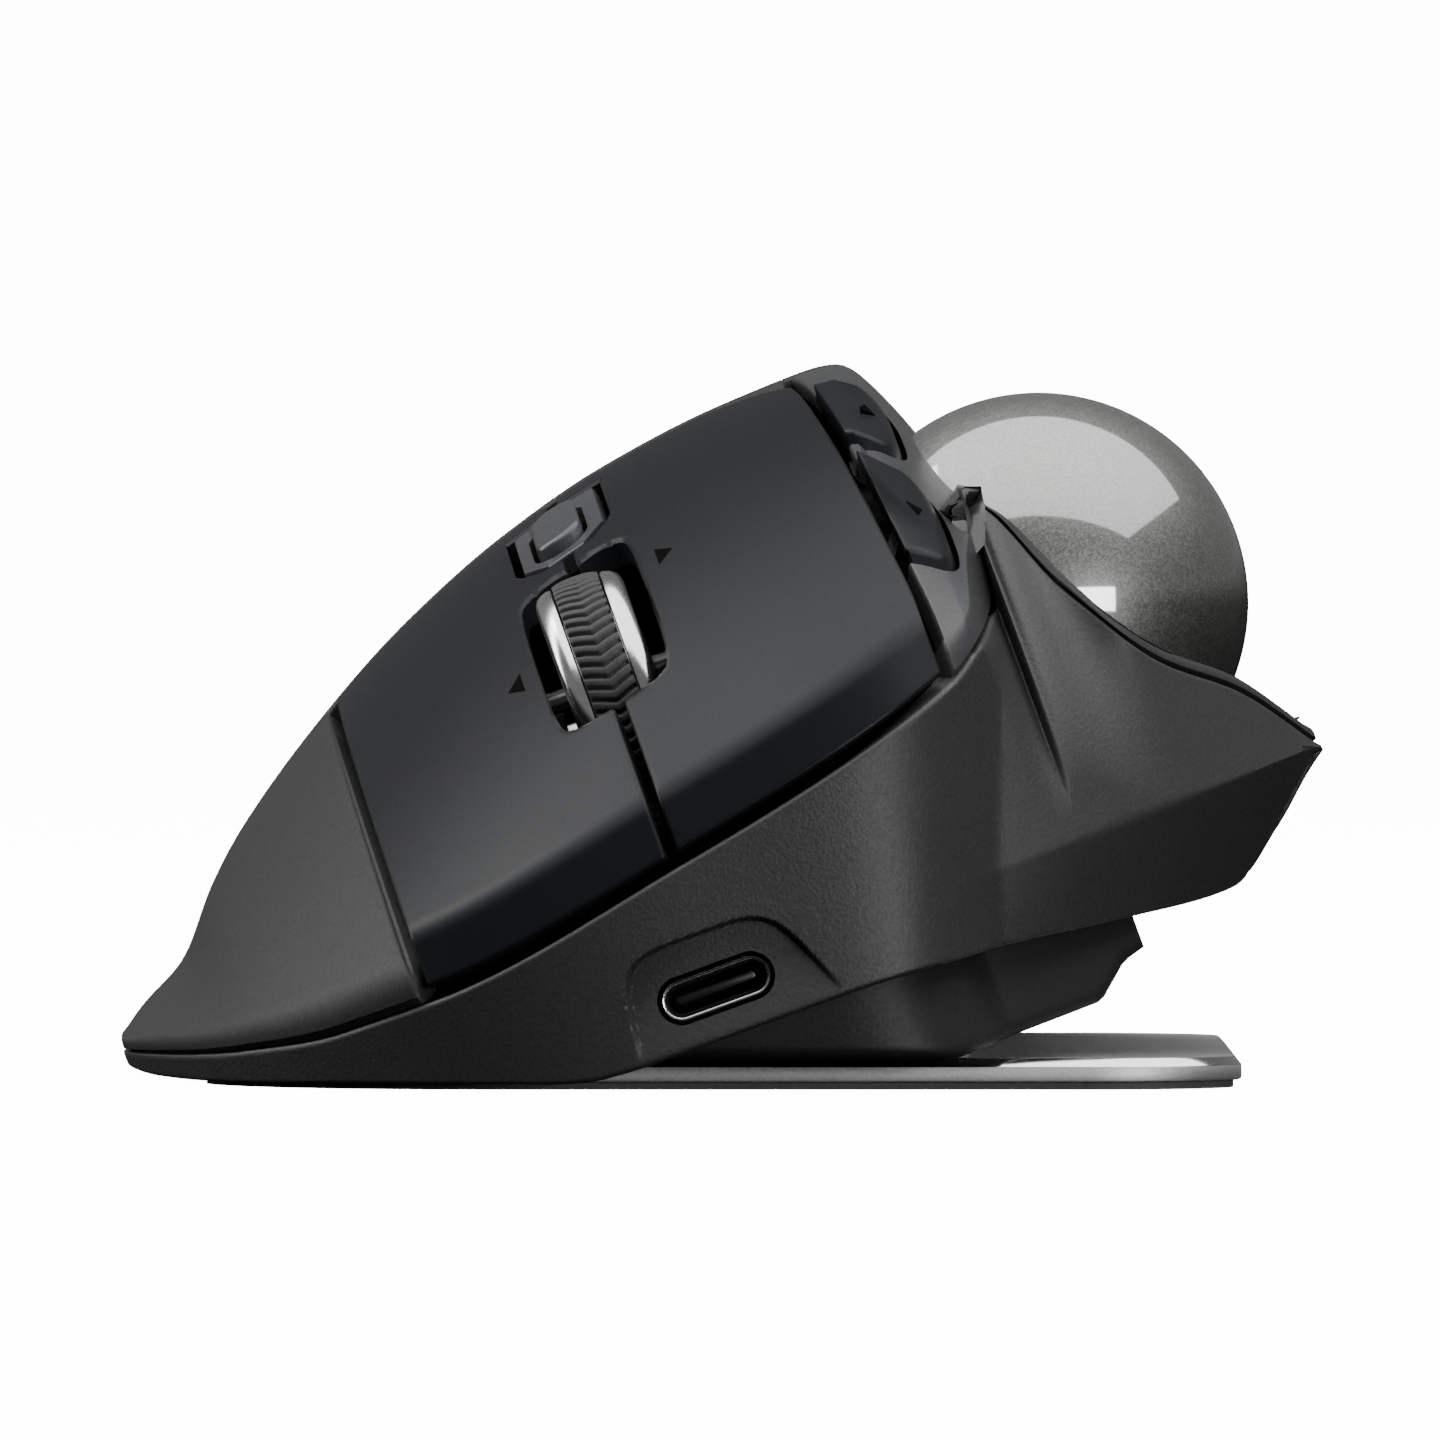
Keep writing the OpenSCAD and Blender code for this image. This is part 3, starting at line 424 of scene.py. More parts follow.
def curve(points, x):
    """A smooth curve through points that never swings past them."""
    p, x = np.array(points, float), np.asarray(x, float)
    h = np.diff(p[:, 0])
    r = np.diff(p[:, 1]) / h
    between = np.where(r[:-1] * r[1:] > 0, 2 * r[:-1] * r[1:] / (r[:-1] + r[1:] + 1e-12), 0)
    m = np.concatenate([r[:1], between, r[-1:]])
    i = np.clip(np.searchsorted(p[:, 0], x, "right") - 1, 0, len(h) - 1)
    t = np.clip((x - p[i, 0]) / h[i], 0, 1)
    a, b, g, e = p[i, 1], p[i + 1, 1], m[i] * h[i], m[i + 1] * h[i]
    return a + t * (g + t * (3 * (b - a) - 2 * g - e + t * (2 * (a - b) + g + e)))


def blend_min(a, b, k):
    h = np.maximum(k - np.abs(a - b), 0) / k
    return np.minimum(a, b) - h * h * k / 4


def arch(x, n):
    return np.maximum(0, 1 - np.minimum(np.abs(x), 1) ** n) ** (1 / n)


def front_v(u, w):
    """Plan outline of the nose and the wing at a height."""
    left = body_v - nose_long * arch((u - mid_u) / left_half, 2.4)
    nose = body_v - nose_long * arch((u - mid_u) / (nose_half + corner_lean * np.minimum(0, w - 29.8)), 5)
    wing = wing_v - wing_long * arch((u - mid_u) / (wing_half - wing_lean * np.maximum(0, 13 - w)), 2)
    return np.where(u < mid_u, left, blend_min(nose, wing, 6))


def rear_v(u):
    return np.where(u < mid_u, body_v + palm_long * arch((u - mid_u) / left_half, 2.3),
                    wing_v + wing_rear_long * arch((u - mid_u) / wing_half, 2))


def top_w(u, v):
    """Height of the top over the whole plan."""
    crest = sum(curve(crest_line, u + d) * k for d, k in ((-0.8, 0.25), (0, 0.5), (0.8, 0.25)))
    front, lip = curve(front_line, u), curve(lip_line, u)
    v0, v1 = front_v(u, front), rear_v(u)
    vc = np.clip(crest_v, v0, v1)
    ahead = np.clip((vc - v) / np.maximum(vc - v0, 0.01), 0, 1) ** 2.1
    behind = np.clip((v - vc) / np.maximum(v1 - vc, 0.01), 0, 1) ** 2.3
    return np.where(v < vc, crest - np.maximum(0, crest - front - lip) * ahead,
                    crest - np.maximum(0, crest - curve(rear_line, u) - np.minimum(lip, 2.6)) * behind)


def shoulder_back(u):
    """How far the upper edge of the wall leans back where the shoulder meets the thumb's side."""
    near, far = np.clip((u - 13.2) / 3.2, 0, 1), np.clip((u - 16.3) / 9, 0, 1)
    return 13 * near * near * (3 - 2 * near) * (1 - far * far * (3 - 2 * far))


def stations(n, length, rim):
    """Shares from 0 to 1 along a length, close together where the rim rolls over at its two ends."""
    near = rim * (1 - np.sin(np.radians(np.arange(90, -1, -15)))) / length
    return np.concatenate([near[:-1], np.linspace(near[-1], 1 - near[-1], n), (1 - near[::-1])[1:]])


full_rim_length = 6


def panel(name, base, rims, thick, away, drop=None, keep=None, crease=38):
    """A shell from its outer skin, rows by columns of points: each edge rolled by its rim (first row, last
    row, first column, last column), less where a column is short, and closed by an inner skin."""
    along, across = np.gradient(base, axis=0), np.gradient(base, axis=1)
    n = np.cross(along, across)
    n /= np.maximum(np.linalg.norm(n, axis=2, keepdims=True), 1e-9)
    n *= np.sign((n * away).sum(2).mean())
    rows, cols = base.shape[:2]
    row_steps, col_steps = (np.linalg.norm(np.diff(base, axis=axis), axis=2) for axis in (0, 1))
    down = np.concatenate([np.zeros((1, cols)), np.cumsum(row_steps, 0)])
    over = np.concatenate([np.zeros((rows, 1)), np.cumsum(col_steps, 1)], 1)
    far = (down, down[-1:] - down, over, over[:, -1:] - over)
    q = sum(np.clip(1 - d / max(r, 1e-6), 0, 1) ** 2 for d, r in zip(far, rims))
    roll = max(rims) * (1 - np.sqrt(1 - np.minimum(1, q))) * np.minimum(1, down[-1:] / full_rim_length)
    if drop is not None:
        roll = roll + drop
    outer = base - n * roll[..., None]
    inner = base - n * (np.broadcast_to(thick, (rows, cols)) + (0 if drop is None else drop))[..., None]
    cells = np.ones((rows - 1, cols - 1), bool) if keep is None else keep
    size = rows * cols
    faces, edges = [], {}
    for i, j in zip(*np.nonzero(cells)):
        ring = [i * cols + j, i * cols + j + 1, (i + 1) * cols + j + 1, (i + 1) * cols + j]
        faces += [ring, [size + k for k in reversed(ring)]]
        for a, b in zip(ring, ring[1:] + ring[:1]):
            if (b, a) in edges:
                del edges[(b, a)]
            else:
                edges[(a, b)] = True
    faces += [[b, a, size + a, size + b] for a, b in edges]
    used = sorted({k for f in faces for k in f})
    renumber = {k: i for i, k in enumerate(used)}
    points = np.concatenate([outer.reshape(-1, 3), inner.reshape(-1, 3)])[used]
    return solid(name, seat(points), [[renumber[k] for k in f] for f in faces], crease)


def arc_spread(us, vs, n):
    """Places along us where n points stand evenly along the outline us, vs."""
    s = np.concatenate([[0], np.cumsum(np.hypot(np.diff(us), np.diff(vs)))])
    return np.interp(np.linspace(0, s[-1], n), s, us)


port_at = (-15.8, 12.0)
trace = np.concatenate([mid_u - 49.19 * np.cos(np.linspace(0, math.pi / 2, 400)),
                        mid_u + 50.59 * np.sin(np.linspace(0, math.pi / 2, 500)[1:])])
wall_us = np.unique(np.round(np.concatenate([
    arc_spread(trace, front_v(trace, curve(front_line, trace) - 4), 210),
    np.arange(-25.5, -5.5, 0.2), np.linspace(12, 17.2, 40)]), 4))
wall_t = stations(88, 14, 0.45)
uu, tt = np.meshgrid(wall_us, wall_t)
wall_top = curve(front_line, uu) - 2.2 * np.exp(-((uu - 16.2) / 0.7) ** 2)
ww = curve(bottom_line, uu) + (wall_top - curve(bottom_line, uu)) * tt
skin = np.stack([uu, front_v(uu, ww) + shoulder_back(uu) * np.clip((tt - 0.35) / 0.65, 0, 1) ** 1.7, ww], -1)
# the recess round the port: an arch with a sharp lip, deepest at its top and open below
side = np.where(uu < port_at[0], (port_at[0] + 0.2 - uu) / (7.5 - 0.12 * (ww - 12)), (uu - port_at[0] - 0.2) /
                (7.9 - 0.42 * (ww - 12)))
head = np.maximum(0, ww - 11.0) / 5.7
inside = 1 - (np.abs(side) ** 4.5 + head ** 4.5) ** (1 / 4.5)
lip = np.clip(inside / 0.05, 0, 1)
recess = 1.25 * lip * lip * (3 - 2 * lip) * np.clip((ww - 8.6) / 4.5, 0, 1)
wall_thick = 2.0 - 1.2 * np.exp(-((wall_us - 16.4) / 1.3) ** 2)
front_wall = panel("front_wall", skin, (0.4, 0.45, 0, 0), wall_thick, (0, -1, 0), drop=recess)


def pill(width, height, around=20):
    """A slot outline about its middle, counter-clockwise."""
    r = height / 2
    return [(side * (width / 2 - r) + r * math.cos(a), r * math.sin(a))
            for side, start in ((1, -90), (-1, 90))
            for a in np.radians(np.linspace(start, start + 180, around))]


def port_loop(width, height, v):
    return [(port_at[0] + a, v, port_at[1] + b) for a, b in pill(width, height)]


def housing_stack(name, loops, crease=38):
    return stack(name, [seat(loop) * 1000 for loop in loops], crease)


cut(front_wall, housing_stack("port_tool", [port_loop(9.7, 3.9, v) for v in (-75, -50)]))
satin = moulded("satin_grain", (0.025, 0.0257, 0.027), 0.5, 3600.0, 0.9, 0.12, 0.25)
front_wall.data.materials.append(satin)
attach(front_wall, "housing")
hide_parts("front_fascia")

back_us = arc_spread(trace, rear_v(trace), 190)
uu, tt = np.meshgrid(back_us, stations(18, 12, 0.45))
ww = curve(bottom_line, uu) + (curve(rear_line, uu) - curve(bottom_line, uu)) * tt
rear_wall = panel("rear_wall", np.stack([uu, rear_v(uu), ww], -1), (0.4, 0.45, 0, 0), 2.0, (0, 1, 0))
rear_wall.data.materials.append(satin)
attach(rear_wall, "housing")
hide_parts("rear_fascia")

# Tray: the bottom shell again, now in its place inside the walls. Two flat facets meet at the ridge, the
# floor then rises under the ball, and a lining closes the space between the tray and the walls.
tray_share, tray_left, tray_right = 0.945, -54.0, 17.3
tray_rim, lining_rim = 9.2, 8.4
facet_room, facet_end = 0.12, 12.6
floor_line = [(tray_left, -tray_left * math.tan(lean) + facet_room),
              (-0.4, 0.4 * math.tan(lean) + facet_room + 0.02), (0, facet_room + 0.05), (0.4, facet_room),
              (facet_end - 0.3, facet_room), (facet_end + 0.3, 0.35), (15.2, 2.25), (15.9, 2.55),
              (tray_right, 2.9)]
tray_us = np.concatenate([np.linspace(tray_left, -1, 90), np.linspace(-0.8, 0.8, 17),
                          np.linspace(1.2, 12, 22), np.linspace(12.2, tray_right, 30)])


def tray_plan(u):
    spread = mid_u + (u - mid_u) / tray_share
    return front_v(spread, 6.0) * tray_share, rear_v(spread) * tray_share


under = np.interp(tray_us, *zip(*floor_line))
rim_w = np.interp(tray_us, (tray_left, -22, tray_right),
                  (-tray_left * math.tan(lean) + 1.3, tray_rim, tray_rim))
near_v, far_v = tray_plan(tray_us)
turn = np.radians(np.arange(0, 91, 15))[:, None]
foot = np.minimum(1.2, 0.6 * (rim_w - under))
wall_rows = 5
climb = np.linspace(1, 0, wall_rows + 1)[:-1, None]
wall_shape = (wall_rows, len(tray_us))
front_rows = np.concatenate([
    np.stack([np.broadcast_to(near_v, wall_shape), under + foot + (rim_w - under - foot) * climb], -1),
    np.stack([near_v + foot * (1 - np.cos(turn)), under + foot * (1 - np.sin(turn))], -1)])
rear_rows = np.concatenate([
    np.stack([far_v - foot * (1 - np.cos(turn[::-1])), under + foot * (1 - np.sin(turn[::-1]))], -1),
    np.stack([np.broadcast_to(far_v, wall_shape),
              under + foot + (rim_w - under - foot) * climb[::-1]], -1)])
floor_count = 28
floor_t = np.linspace(0, 1, floor_count + 2)[1:-1, None]
floor_rows = np.stack([front_rows[-1, :, 0] * (1 - floor_t) + rear_rows[0, :, 0] * floor_t,
                       np.broadcast_to(under, (floor_count, len(under)))], -1)
rows = np.concatenate([front_rows, floor_rows, rear_rows])
skin = np.concatenate([np.broadcast_to(tray_us, rows.shape[:2])[..., None], rows], -1)
end_wall = np.repeat(skin[:, -1:], 8, 1)
end_wall[..., 2] += (tray_rim - end_wall[..., 2]) * np.linspace(0.08, 1, 8)
tray = panel("bottom_tray", np.concatenate([skin, end_wall], 1), (0.3, 0.3, 0.3, 0.3), 1.3, (0, 0, -1),
             crease=25)


def disc(u, v, r, n=48):
    return [(u + r * math.cos(a), v + r * math.sin(a))
            for a in np.linspace(0, 2 * math.pi, n, endpoint=False)]


def post(name, outline, low, high):
    """A tool that stands square to the desk side of the housing."""
    return housing_stack(name, [[(u, v, w) for u, v in outline] for w in (low, high)])


slide_u, slide_v = -33.0, 34.0
slide_corners = [(slide_u + x, slide_v + y) for x, y in ((-1.7, -4), (1.7, -4), (1.7, 4), (-1.7, 4))]
tray_screws = ((-47, -26, 17.6), (-47, 28, 17.6), (-2, -54, 1.5), (9, 40, 0.9))
cut(tray, post("eject_tool", disc(ball_at[0], ball_at[1], 6.5), -2, 14),
    post("slide_tool", slide_corners, 5, 20),
    *[post("screw_tool", disc(u, v, 1.9), -2, head) for u, v, head in tray_screws])
tray.data.materials.append(tray_plastic)
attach(tray, "housing")
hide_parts("bottom_shell")
for name, edge_at, us in (("front_lining", front_v, np.linspace(-58, 36, 130)),
                          ("rear_lining", lambda u, w: rear_v(u), np.linspace(-58, 36, 130))):
    low = curve(bottom_line, us) + 0.7
    out_v = edge_at(us, low)
    out_v = out_v - 0.9 * np.sign(out_v + 8)
    in_u = np.clip(mid_u + (us - mid_u) * 0.93, tray_left, tray_right - 0.4)
    in_v = np.where(us > 20, out_v * 0.9, tray_plan(in_u)[0 if name == "front_lining" else 1] * 0.985)
    in_w = np.interp(in_u, (tray_left, -22, tray_right),
                     (-tray_left * math.tan(lean) + 0.9, lining_rim, lining_rim))
    t = np.linspace(0, 1, 14)[:, None]
    bow = 1.2 * np.sin(math.pi * t) * np.clip((us - 16) / 8, 0, 1)
    grid = np.stack([us + (in_u - us) * t, out_v + (in_v - out_v) * t, low + (in_w - low) * t + bow], -1)
    lining = panel(name, grid, (0, 0, 0, 0), 0.5, (0, 0, -1))
    lining.data.materials.append(tray_plastic)
    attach(lining, "housing")

# Charging port: a drawn steel shell, polished, with the black tongue and its contact rows inside. It is
# soldered to its own board behind the front wall.
ring = [(8.94, 3.16), (9.0, 3.22), (8.98, 3.2), (8.86, 3.08), (8.62, 2.84), (8.42, 2.64), (8.36, 2.58)]
depth = [-57.6, -57.6, -65.0, -65.18, -65.18, -65.05, -64.8]
ring_loops = [port_loop(w, h, v) for (w, h), v in zip(ring, depth)] + [port_loop(8.36, 2.58, -58.0)]
port_ring = housing_stack("port_ring", ring_loops, 60)
polished = machined("drawn_steel", (0.72, 0.72, 0.73), 0.16, 2500.0)
port_ring.data.materials.append(polished)
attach(port_ring, "housing")
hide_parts("port_shell")
sleeve = housing_stack("port_sleeve", [port_loop(w, h, v) for w, h, v in (
    (8.34, 2.56, -58.05), (8.34, 2.56, -64.3), (7.9, 2.14, -64.3), (7.9, 2.14, -58.3))])
sleeve.data.materials.append(moulded("sleeve_black", (0.004, 0.004, 0.004), 0.6, 2500.0, 0.1, 0.0, 0.2, 0.1))
sleeve.parent = port_ring
tongue_steps = ((1, -58.1), (1, -63.2), (0.97, -63.4), (0.9, -63.45))
tongue = housing_stack("port_tongue_piece", [[(port_at[0] + a * k, v, port_at[1] + b * k)
                                              for a, b in pill(6.7, 0.7, 6)] for k, v in tongue_steps])
tongue.data.materials.append(moulded("tongue_resin", (0.012, 0.012, 0.013), 0.35, 2500.0, 0.1))
contact_finish = machined("contact_plating", (0.75, 0.6, 0.32), 0.2, 2500.0)
for row in range(12):
    x = port_at[0] - 2.75 + row * 0.5
    bar = housing_stack(f"port_contact_{row}", [[(x + a, v, port_at[1] + b) for a, b in pill(0.26, 0.78, 5)]
                                                for v in (-58.6, -63.0, -63.1)])
    bar.data.materials.append(contact_finish)
    bar.parent = tongue
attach(tongue, "housing")
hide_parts("port_tongue")

# Scroll wheel: a turned and polished hub with a rim each side, and between them a rubber tread moulded
# with chevrons, which turn on the steel axle.
wheel_at = np.array([-15.5, -37.8, 34.35])
hub_profile = [(-3.68, 1.1), (-3.68, 6.0), (-3.3, 6.4), (-3.3, 9.2), (-3.68, 9.7), (-3.7, 10.2),
               (-3.62, 10.7), (-3.35, 11.15), (-2.9, 11.45), (-2.4, 11.6), (-2.12, 11.58), (-2.02, 11.4),
               (-2.0, 9.62)]
hub_profile = hub_profile + [(-x, r) for x, r in reversed(hub_profile)]


def turned(name, profile, centre, around=180, crease=30):
    """A ring turned about the wheel's axle, from its closed section."""
    n = len(profile)
    points = [[(centre[0] + x, centre[1] + r * math.cos(a), centre[2] + r * math.sin(a)) for x, r in profile]
              for a in np.linspace(0, 2 * math.pi, around, endpoint=False)]
    faces = [[i * n + j, i * n + (j + 1) % n, (i + 1) % around * n + (j + 1) % n, (i + 1) % around * n + j]
             for i in range(around) for j in range(n)]
    return solid(name, seat(points), faces, crease)


hub = turned("wheel_hub_piece", hub_profile, wheel_at)
hub.data.materials.append(machined("polished_hub", (0.82, 0.82, 0.82), 0.14, 2200.0))
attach(hub, "wheel")
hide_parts("wheel_hub")
around, ribs = 1080, 72
tread_half, rib_half = 1.96, 1.93
across = np.concatenate([[-tread_half, -rib_half], np.linspace(-1.82, 1.82, 19), [rib_half, tread_half]])
aa, xx = np.meshgrid(np.linspace(0, 2 * math.pi, around, endpoint=False), across, indexing="ij")
phase = (aa / (2 * math.pi) * ribs + 0.75 * np.abs(xx) / tread_half) % 1
groove_cut = np.exp(-((phase - 0.5) / 0.16) ** 2)
rib_fade = np.clip((rib_half - np.abs(xx)) / 0.11, 0, 1)
rr = 12.0 - 0.28 * (np.abs(xx) / tread_half) ** 3 - 0.3 * groove_cut * rib_fade
rr[:, [0, -1]] = 10.6
loops = np.concatenate([np.stack([xx, rr], -1), np.stack([xx, np.full_like(rr, 9.66)], -1)[:, ::-1]], 1)
n = loops.shape[1]
points = np.stack([wheel_at[0] + loops[..., 0], wheel_at[1] + loops[..., 1] * np.cos(aa[:, :1]),
                   wheel_at[2] + loops[..., 1] * np.sin(aa[:, :1])], -1)
faces = [[i * n + j, i * n + (j + 1) % n, (i + 1) % around * n + (j + 1) % n, (i + 1) % around * n + j]
         for i in range(around) for j in range(n)]
tread = solid("wheel_tread_piece", seat(points), faces, 50)
tread.data.materials.append(moulded("tread_rubber", (0.02, 0.02, 0.021), 0.6, 2800.0, 0.3))
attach(tread, "wheel")
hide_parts("wheel_tread")

# Main buttons: two smooth shells of dense black plastic that meet at the slot in front of the wheel. Each
# ends in a bevelled front edge, turns on the rod at its rear, and leaves room for the wheel and the panel.
slot_u, gap = -15.5, 0.9
shoulder_edge = [(-80, 9.6), (-57, 9.6), (-48, 9.1), (-36, 8.3), (-23, 7.4), (-11.6, 6.6), (2, 5.4)]
button_back = 1.0
corner_depth, corner_bow = 8.0, 2.2
well_mid, well_size, well_diamond = (-15.5, -39.7), (10.4, 24.8), 16.0
panel_u, panel_v, panel_room = (-19.4, -11.6), (-23.6, -6.6), 0.55


def well_outline(grow):
    """The opening for the wheel: a long octagon with softened corners."""
    a, b, d = well_size[0] / 2 + grow, well_size[1] / 2 + grow, well_diamond + 1.3 * grow
    corners = np.array([(a, -(d - a)), (a, d - a), (d - b, b), (-(d - b), b), (-a, d - a), (-a, -(d - a)),
                        (-(d - b), -b), (d - b, -b)])
    for _ in range(3):
        after = np.roll(corners, -1, 0)
        corners = np.stack([0.8 * corners + 0.2 * after, 0.2 * corners + 0.8 * after], 1).reshape(-1, 2)
    return corners + well_mid


def prism(name, outline, low=20, high=70):
    """A tool that cuts down through the top of the housing."""
    return housing_stack(name, [[(u, v, w) for u, v in outline] for w in (low, high)])


def slot_outline(grow):
    """The opening for the channel panel, with its two front corners cut off."""
    a, b = panel_u[0] - grow, panel_u[1] + grow
    return [(a, panel_v[0] + 3.4), (a + 0.5, panel_v[0] + 2.2 - 0.6 * grow),
            (a + 2.1, panel_v[0] + 0.2 - grow),
            (a + 2.9, panel_v[0] - grow), (b - 2.9, panel_v[0] - grow), (b - 2.1, panel_v[0] + 0.2 - grow),
            (b - 0.5, panel_v[0] + 2.2 - 0.6 * grow), (b, panel_v[0] + 3.4), (b, panel_v[1] + grow),
            (a, panel_v[1] + grow)]


def nearness(uu, vv, outline):
    """Distance outward from a closed outline in plan, 0 on and inside it."""
    p = np.asarray(outline, float)
    q = np.roll(p, -1, 0)
    best = np.full(uu.shape, 1e9)
    within = np.zeros(uu.shape, bool)
    for (ax, ay), (bx, by) in zip(p, q):
        t = np.clip(((uu - ax) * (bx - ax) + (vv - ay) * (by - ay)) / ((bx - ax) ** 2 + (by - ay) ** 2), 0, 1)
        best = np.minimum(best, np.hypot(uu - ax - t * (bx - ax), vv - ay - t * (by - ay)))
        if ay != by:
            within ^= ((ay > vv) != (by > vv)) & (uu < (bx - ax) * (vv - ay) / (by - ay) + ax)
    return np.where(within, 0, best)


def button_skin(inner_u, outer_u):
    """Skin of a main button from its slot side to its outer side: its top, its bend, and its bevel."""
    span = abs(outer_u - inner_u)
    s = stations(int(span / 0.24), span, 0.4)
    front_u = inner_u + s * (outer_u - inner_u)
    low = curve(front_line, front_u)
    edge_v = front_v(front_u, low) + 1.8
    corner = np.clip((front_u - 1.0) / 8.6, 0, 1) ** corner_bow * corner_depth
    back_v = button_back - corner
    q = stations(190, 60, 0.4)[:-6]
    q = q / q[-1]
    vv = back_v + q[:, None] * (edge_v + 1.3 - back_v)

    def across_at(v):
        edge = np.where(outer_u > 0, curve(shoulder_edge, v), outer_u)
        return inner_u + s * (edge - inner_u)
    uu = across_at(vv)
    top = np.stack([uu, vv, top_w(uu, vv)], -1)
    start = top[-1]
    bend = np.stack([front_u, edge_v, top_w(front_u, edge_v)], -1)
    foot = np.stack([front_u, edge_v - 1.4, low + 1.15], -1)
    way = (foot - bend) / np.linalg.norm(foot - bend, axis=1, keepdims=True)
    after = bend + 1.1 * way
    t = np.linspace(0, 1, 10)[1:, None, None]
    fillet = (1 - t) ** 2 * start + 2 * t * (1 - t) * bend + t * t * after
    u = np.append(np.linspace(0, 0.8, 7)[1:], [0.86, 0.9, 0.94, 0.965, 0.985, 1.0])[:, None, None]
    skin = np.concatenate([top, fillet, after + u * (foot - after)])
    return skin, np.append(np.full(len(top), 1.7), np.linspace(1.7, 0.8, len(skin) - len(top)))[:, None]


# The sixth number, 0.6, sets how strongly the painted edge highlight lightens the buttons' edges.
satin_black = moulded("satin_black", (0.006, 0.0068, 0.0086), 0.4, 5200.0, 0.1, 0.0, 0.6, 0.17)
for name, node, inner_u, outer_u in (("left_main_button", "left_button", slot_u + gap / 2, 9.6),
                                     ("right_main_button", "right_button", slot_u - gap / 2, -37.35)):
    skin, thick = button_skin(inner_u, outer_u)
    nears = [np.clip(1 - nearness(skin[..., 0], skin[..., 1], shape) / 0.4, 0, 1)
             for shape in (well_outline(0), slot_outline(panel_room))]
    lowered = sum(0.3 * (1 - np.sqrt(1 - near ** 2)) for near in nears)
    button = panel(name, skin, (0.4, 0.35, 0.35, 0.35), thick, (0, 0, 1), drop=lowered)
    cut(button, prism("well_tool", well_outline(0)), prism("slot_tool", slot_outline(panel_room)))
    button.data.materials.append(satin_black)
    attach(button, node)
    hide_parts(node)

# Tilt marks: a small triangle pressed into each main button beside the wheel, darker than the shell.
mark_black = moulded("mark_black", (0.0012, 0.0012, 0.0014), 0.7, 3000.0, 0.1, 0.0, 0.1, 0.02)


def mark(name, body, u, v, size, turn, lift=0.03):
    """A thin triangle that follows the top's slope at a place."""
    corners = [(math.cos(a + turn), math.sin(a + turn)) for a in np.radians((0, 120, 240))]
    ring = [[(u + size * x * k, v + size * 1.9 * y * k) for x, y in corners] for k in (1, 1, 0.9)]
    loops = [[(x, y, float(top_w(np.array(x), np.array(y))) + h) for x, y in loop]
             for loop, h in zip(ring, (-0.3, lift * 0.5, lift))]
    thing = housing_stack(name, loops)
    thing.data.materials.append(mark_black)
    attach(thing, body)
    return thing


mark("tilt_mark_left", "left_button", -8.2, -35.5, 0.95, 0.0)
mark("tilt_mark_right", "right_button", -22.6, -41.0, 0.95, math.pi)

# Channel panel: a satin insert behind the wheel with rolled edges and cut front corners, three lights and
# an oblong button that switches between paired computers.
uu, tt = np.meshgrid(np.linspace(panel_u[0] + 0.1, panel_u[1] - 0.1, 64), stations(90, 17, 0.3))
vv = panel_v[1] + (panel_v[0] - panel_v[1]) * tt
panel_skin = np.stack([uu, vv, top_w(uu, vv) - 0.15], -1)
insert = panel("channel_insert", panel_skin, (0.25, 0.25, 0.3, 0.3), 1.6, (0, 0, 1))
button_mid, button_long, button_wide = (-15.6, -16.4), 10.8, 4.1


def pill_at(length, width):
    return [(button_mid[0] - b, button_mid[1] + a) for a, b in pill(length, width)]


cut(insert, prism("button_tool", pill_at(button_long + 0.9, button_wide + 0.9)))
for side, (edge_u, out) in {"left": (panel_u[0], -1), "right": (panel_u[1], 1)}.items():
    corner = [(edge_u + out, panel_v[0] - 1), (edge_u - 2.4 * out, panel_v[0] - 1),
              (edge_u - 2.4 * out, panel_v[0]), (edge_u - 0.1 * out, panel_v[0] + 2.8),
              (edge_u + out, panel_v[0] + 2.8)]
    cut(insert, prism(f"{side}_corner_tool", corner))
insert.data.materials.append(moulded("insert_satin", (0.04, 0.042, 0.045), 0.34, 4200.0, 0.2, 0.0, 0.9))
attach(insert, "housing")
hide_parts("channel_panel")


def raised(outline_at, steps, lower, name, crease=40):
    """A button raised above the top: its outline shrinks over its rounded edge, and its cap is parallel to
    the top."""
    loops = []
    for grow, lift in steps:
        loops.append([(u, v, float(top_w(np.array(u), np.array(v))) + lift) for u, v in outline_at(grow)])
    loops.insert(0, [(u, v, w + lower) for u, v, w in loops[0]])
    return housing_stack(name, loops, crease)


channel_key = raised(lambda g: pill_at(button_long + 2 * g, button_wide + 2 * g),
                     ((0, 0.55), (-0.06, 0.72), (-0.2, 0.86), (-0.42, 0.93), (-0.9, 0.97), (-1.6, 1.0)), -2.8,
                     "channel_key")
channel_key.data.materials.append(moulded("key_satin", (0.045, 0.047, 0.05), 0.32, 4200.0, 0.15, 0.0, 0.5))
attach(channel_key, "channel_button")
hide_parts("channel_button")
frost, flow, shader = finish_of("light_window", Roughness=0.4)
haze = flow.node("ShaderNodeTexNoise", Vector=flow.node("ShaderNodeTexCoord", out="Object"), Scale=1500.0)
feed(flow, shader, Base_Color=haze.mix((0.25, 0.27, 0.27, 1), (0.4, 0.43, 0.43, 1)))
dress(frost, "light_pipes")

# Shoulder strip: the satin shell between the left button and the ball, which carries the forward and back
# buttons, rolls over at its outer edge and runs down the ball's side.
strip_far = 16.15


def rolled_front(us, edge_v, skin):
    """Adds to a skin the rows that carry its front edge down to the seam above the wall."""
    low = curve(front_line, us)
    foot = np.stack([us, edge_v, low + 0.15], -1)
    bend = np.stack([us, edge_v, low + curve(lip_line, us)], -1)
    t = np.linspace(0, 1, 9)[:-1, None, None]
    return np.concatenate([(1 - t) ** 2 * foot + 2 * t * (1 - t) * bend + t * t * skin[0], skin])


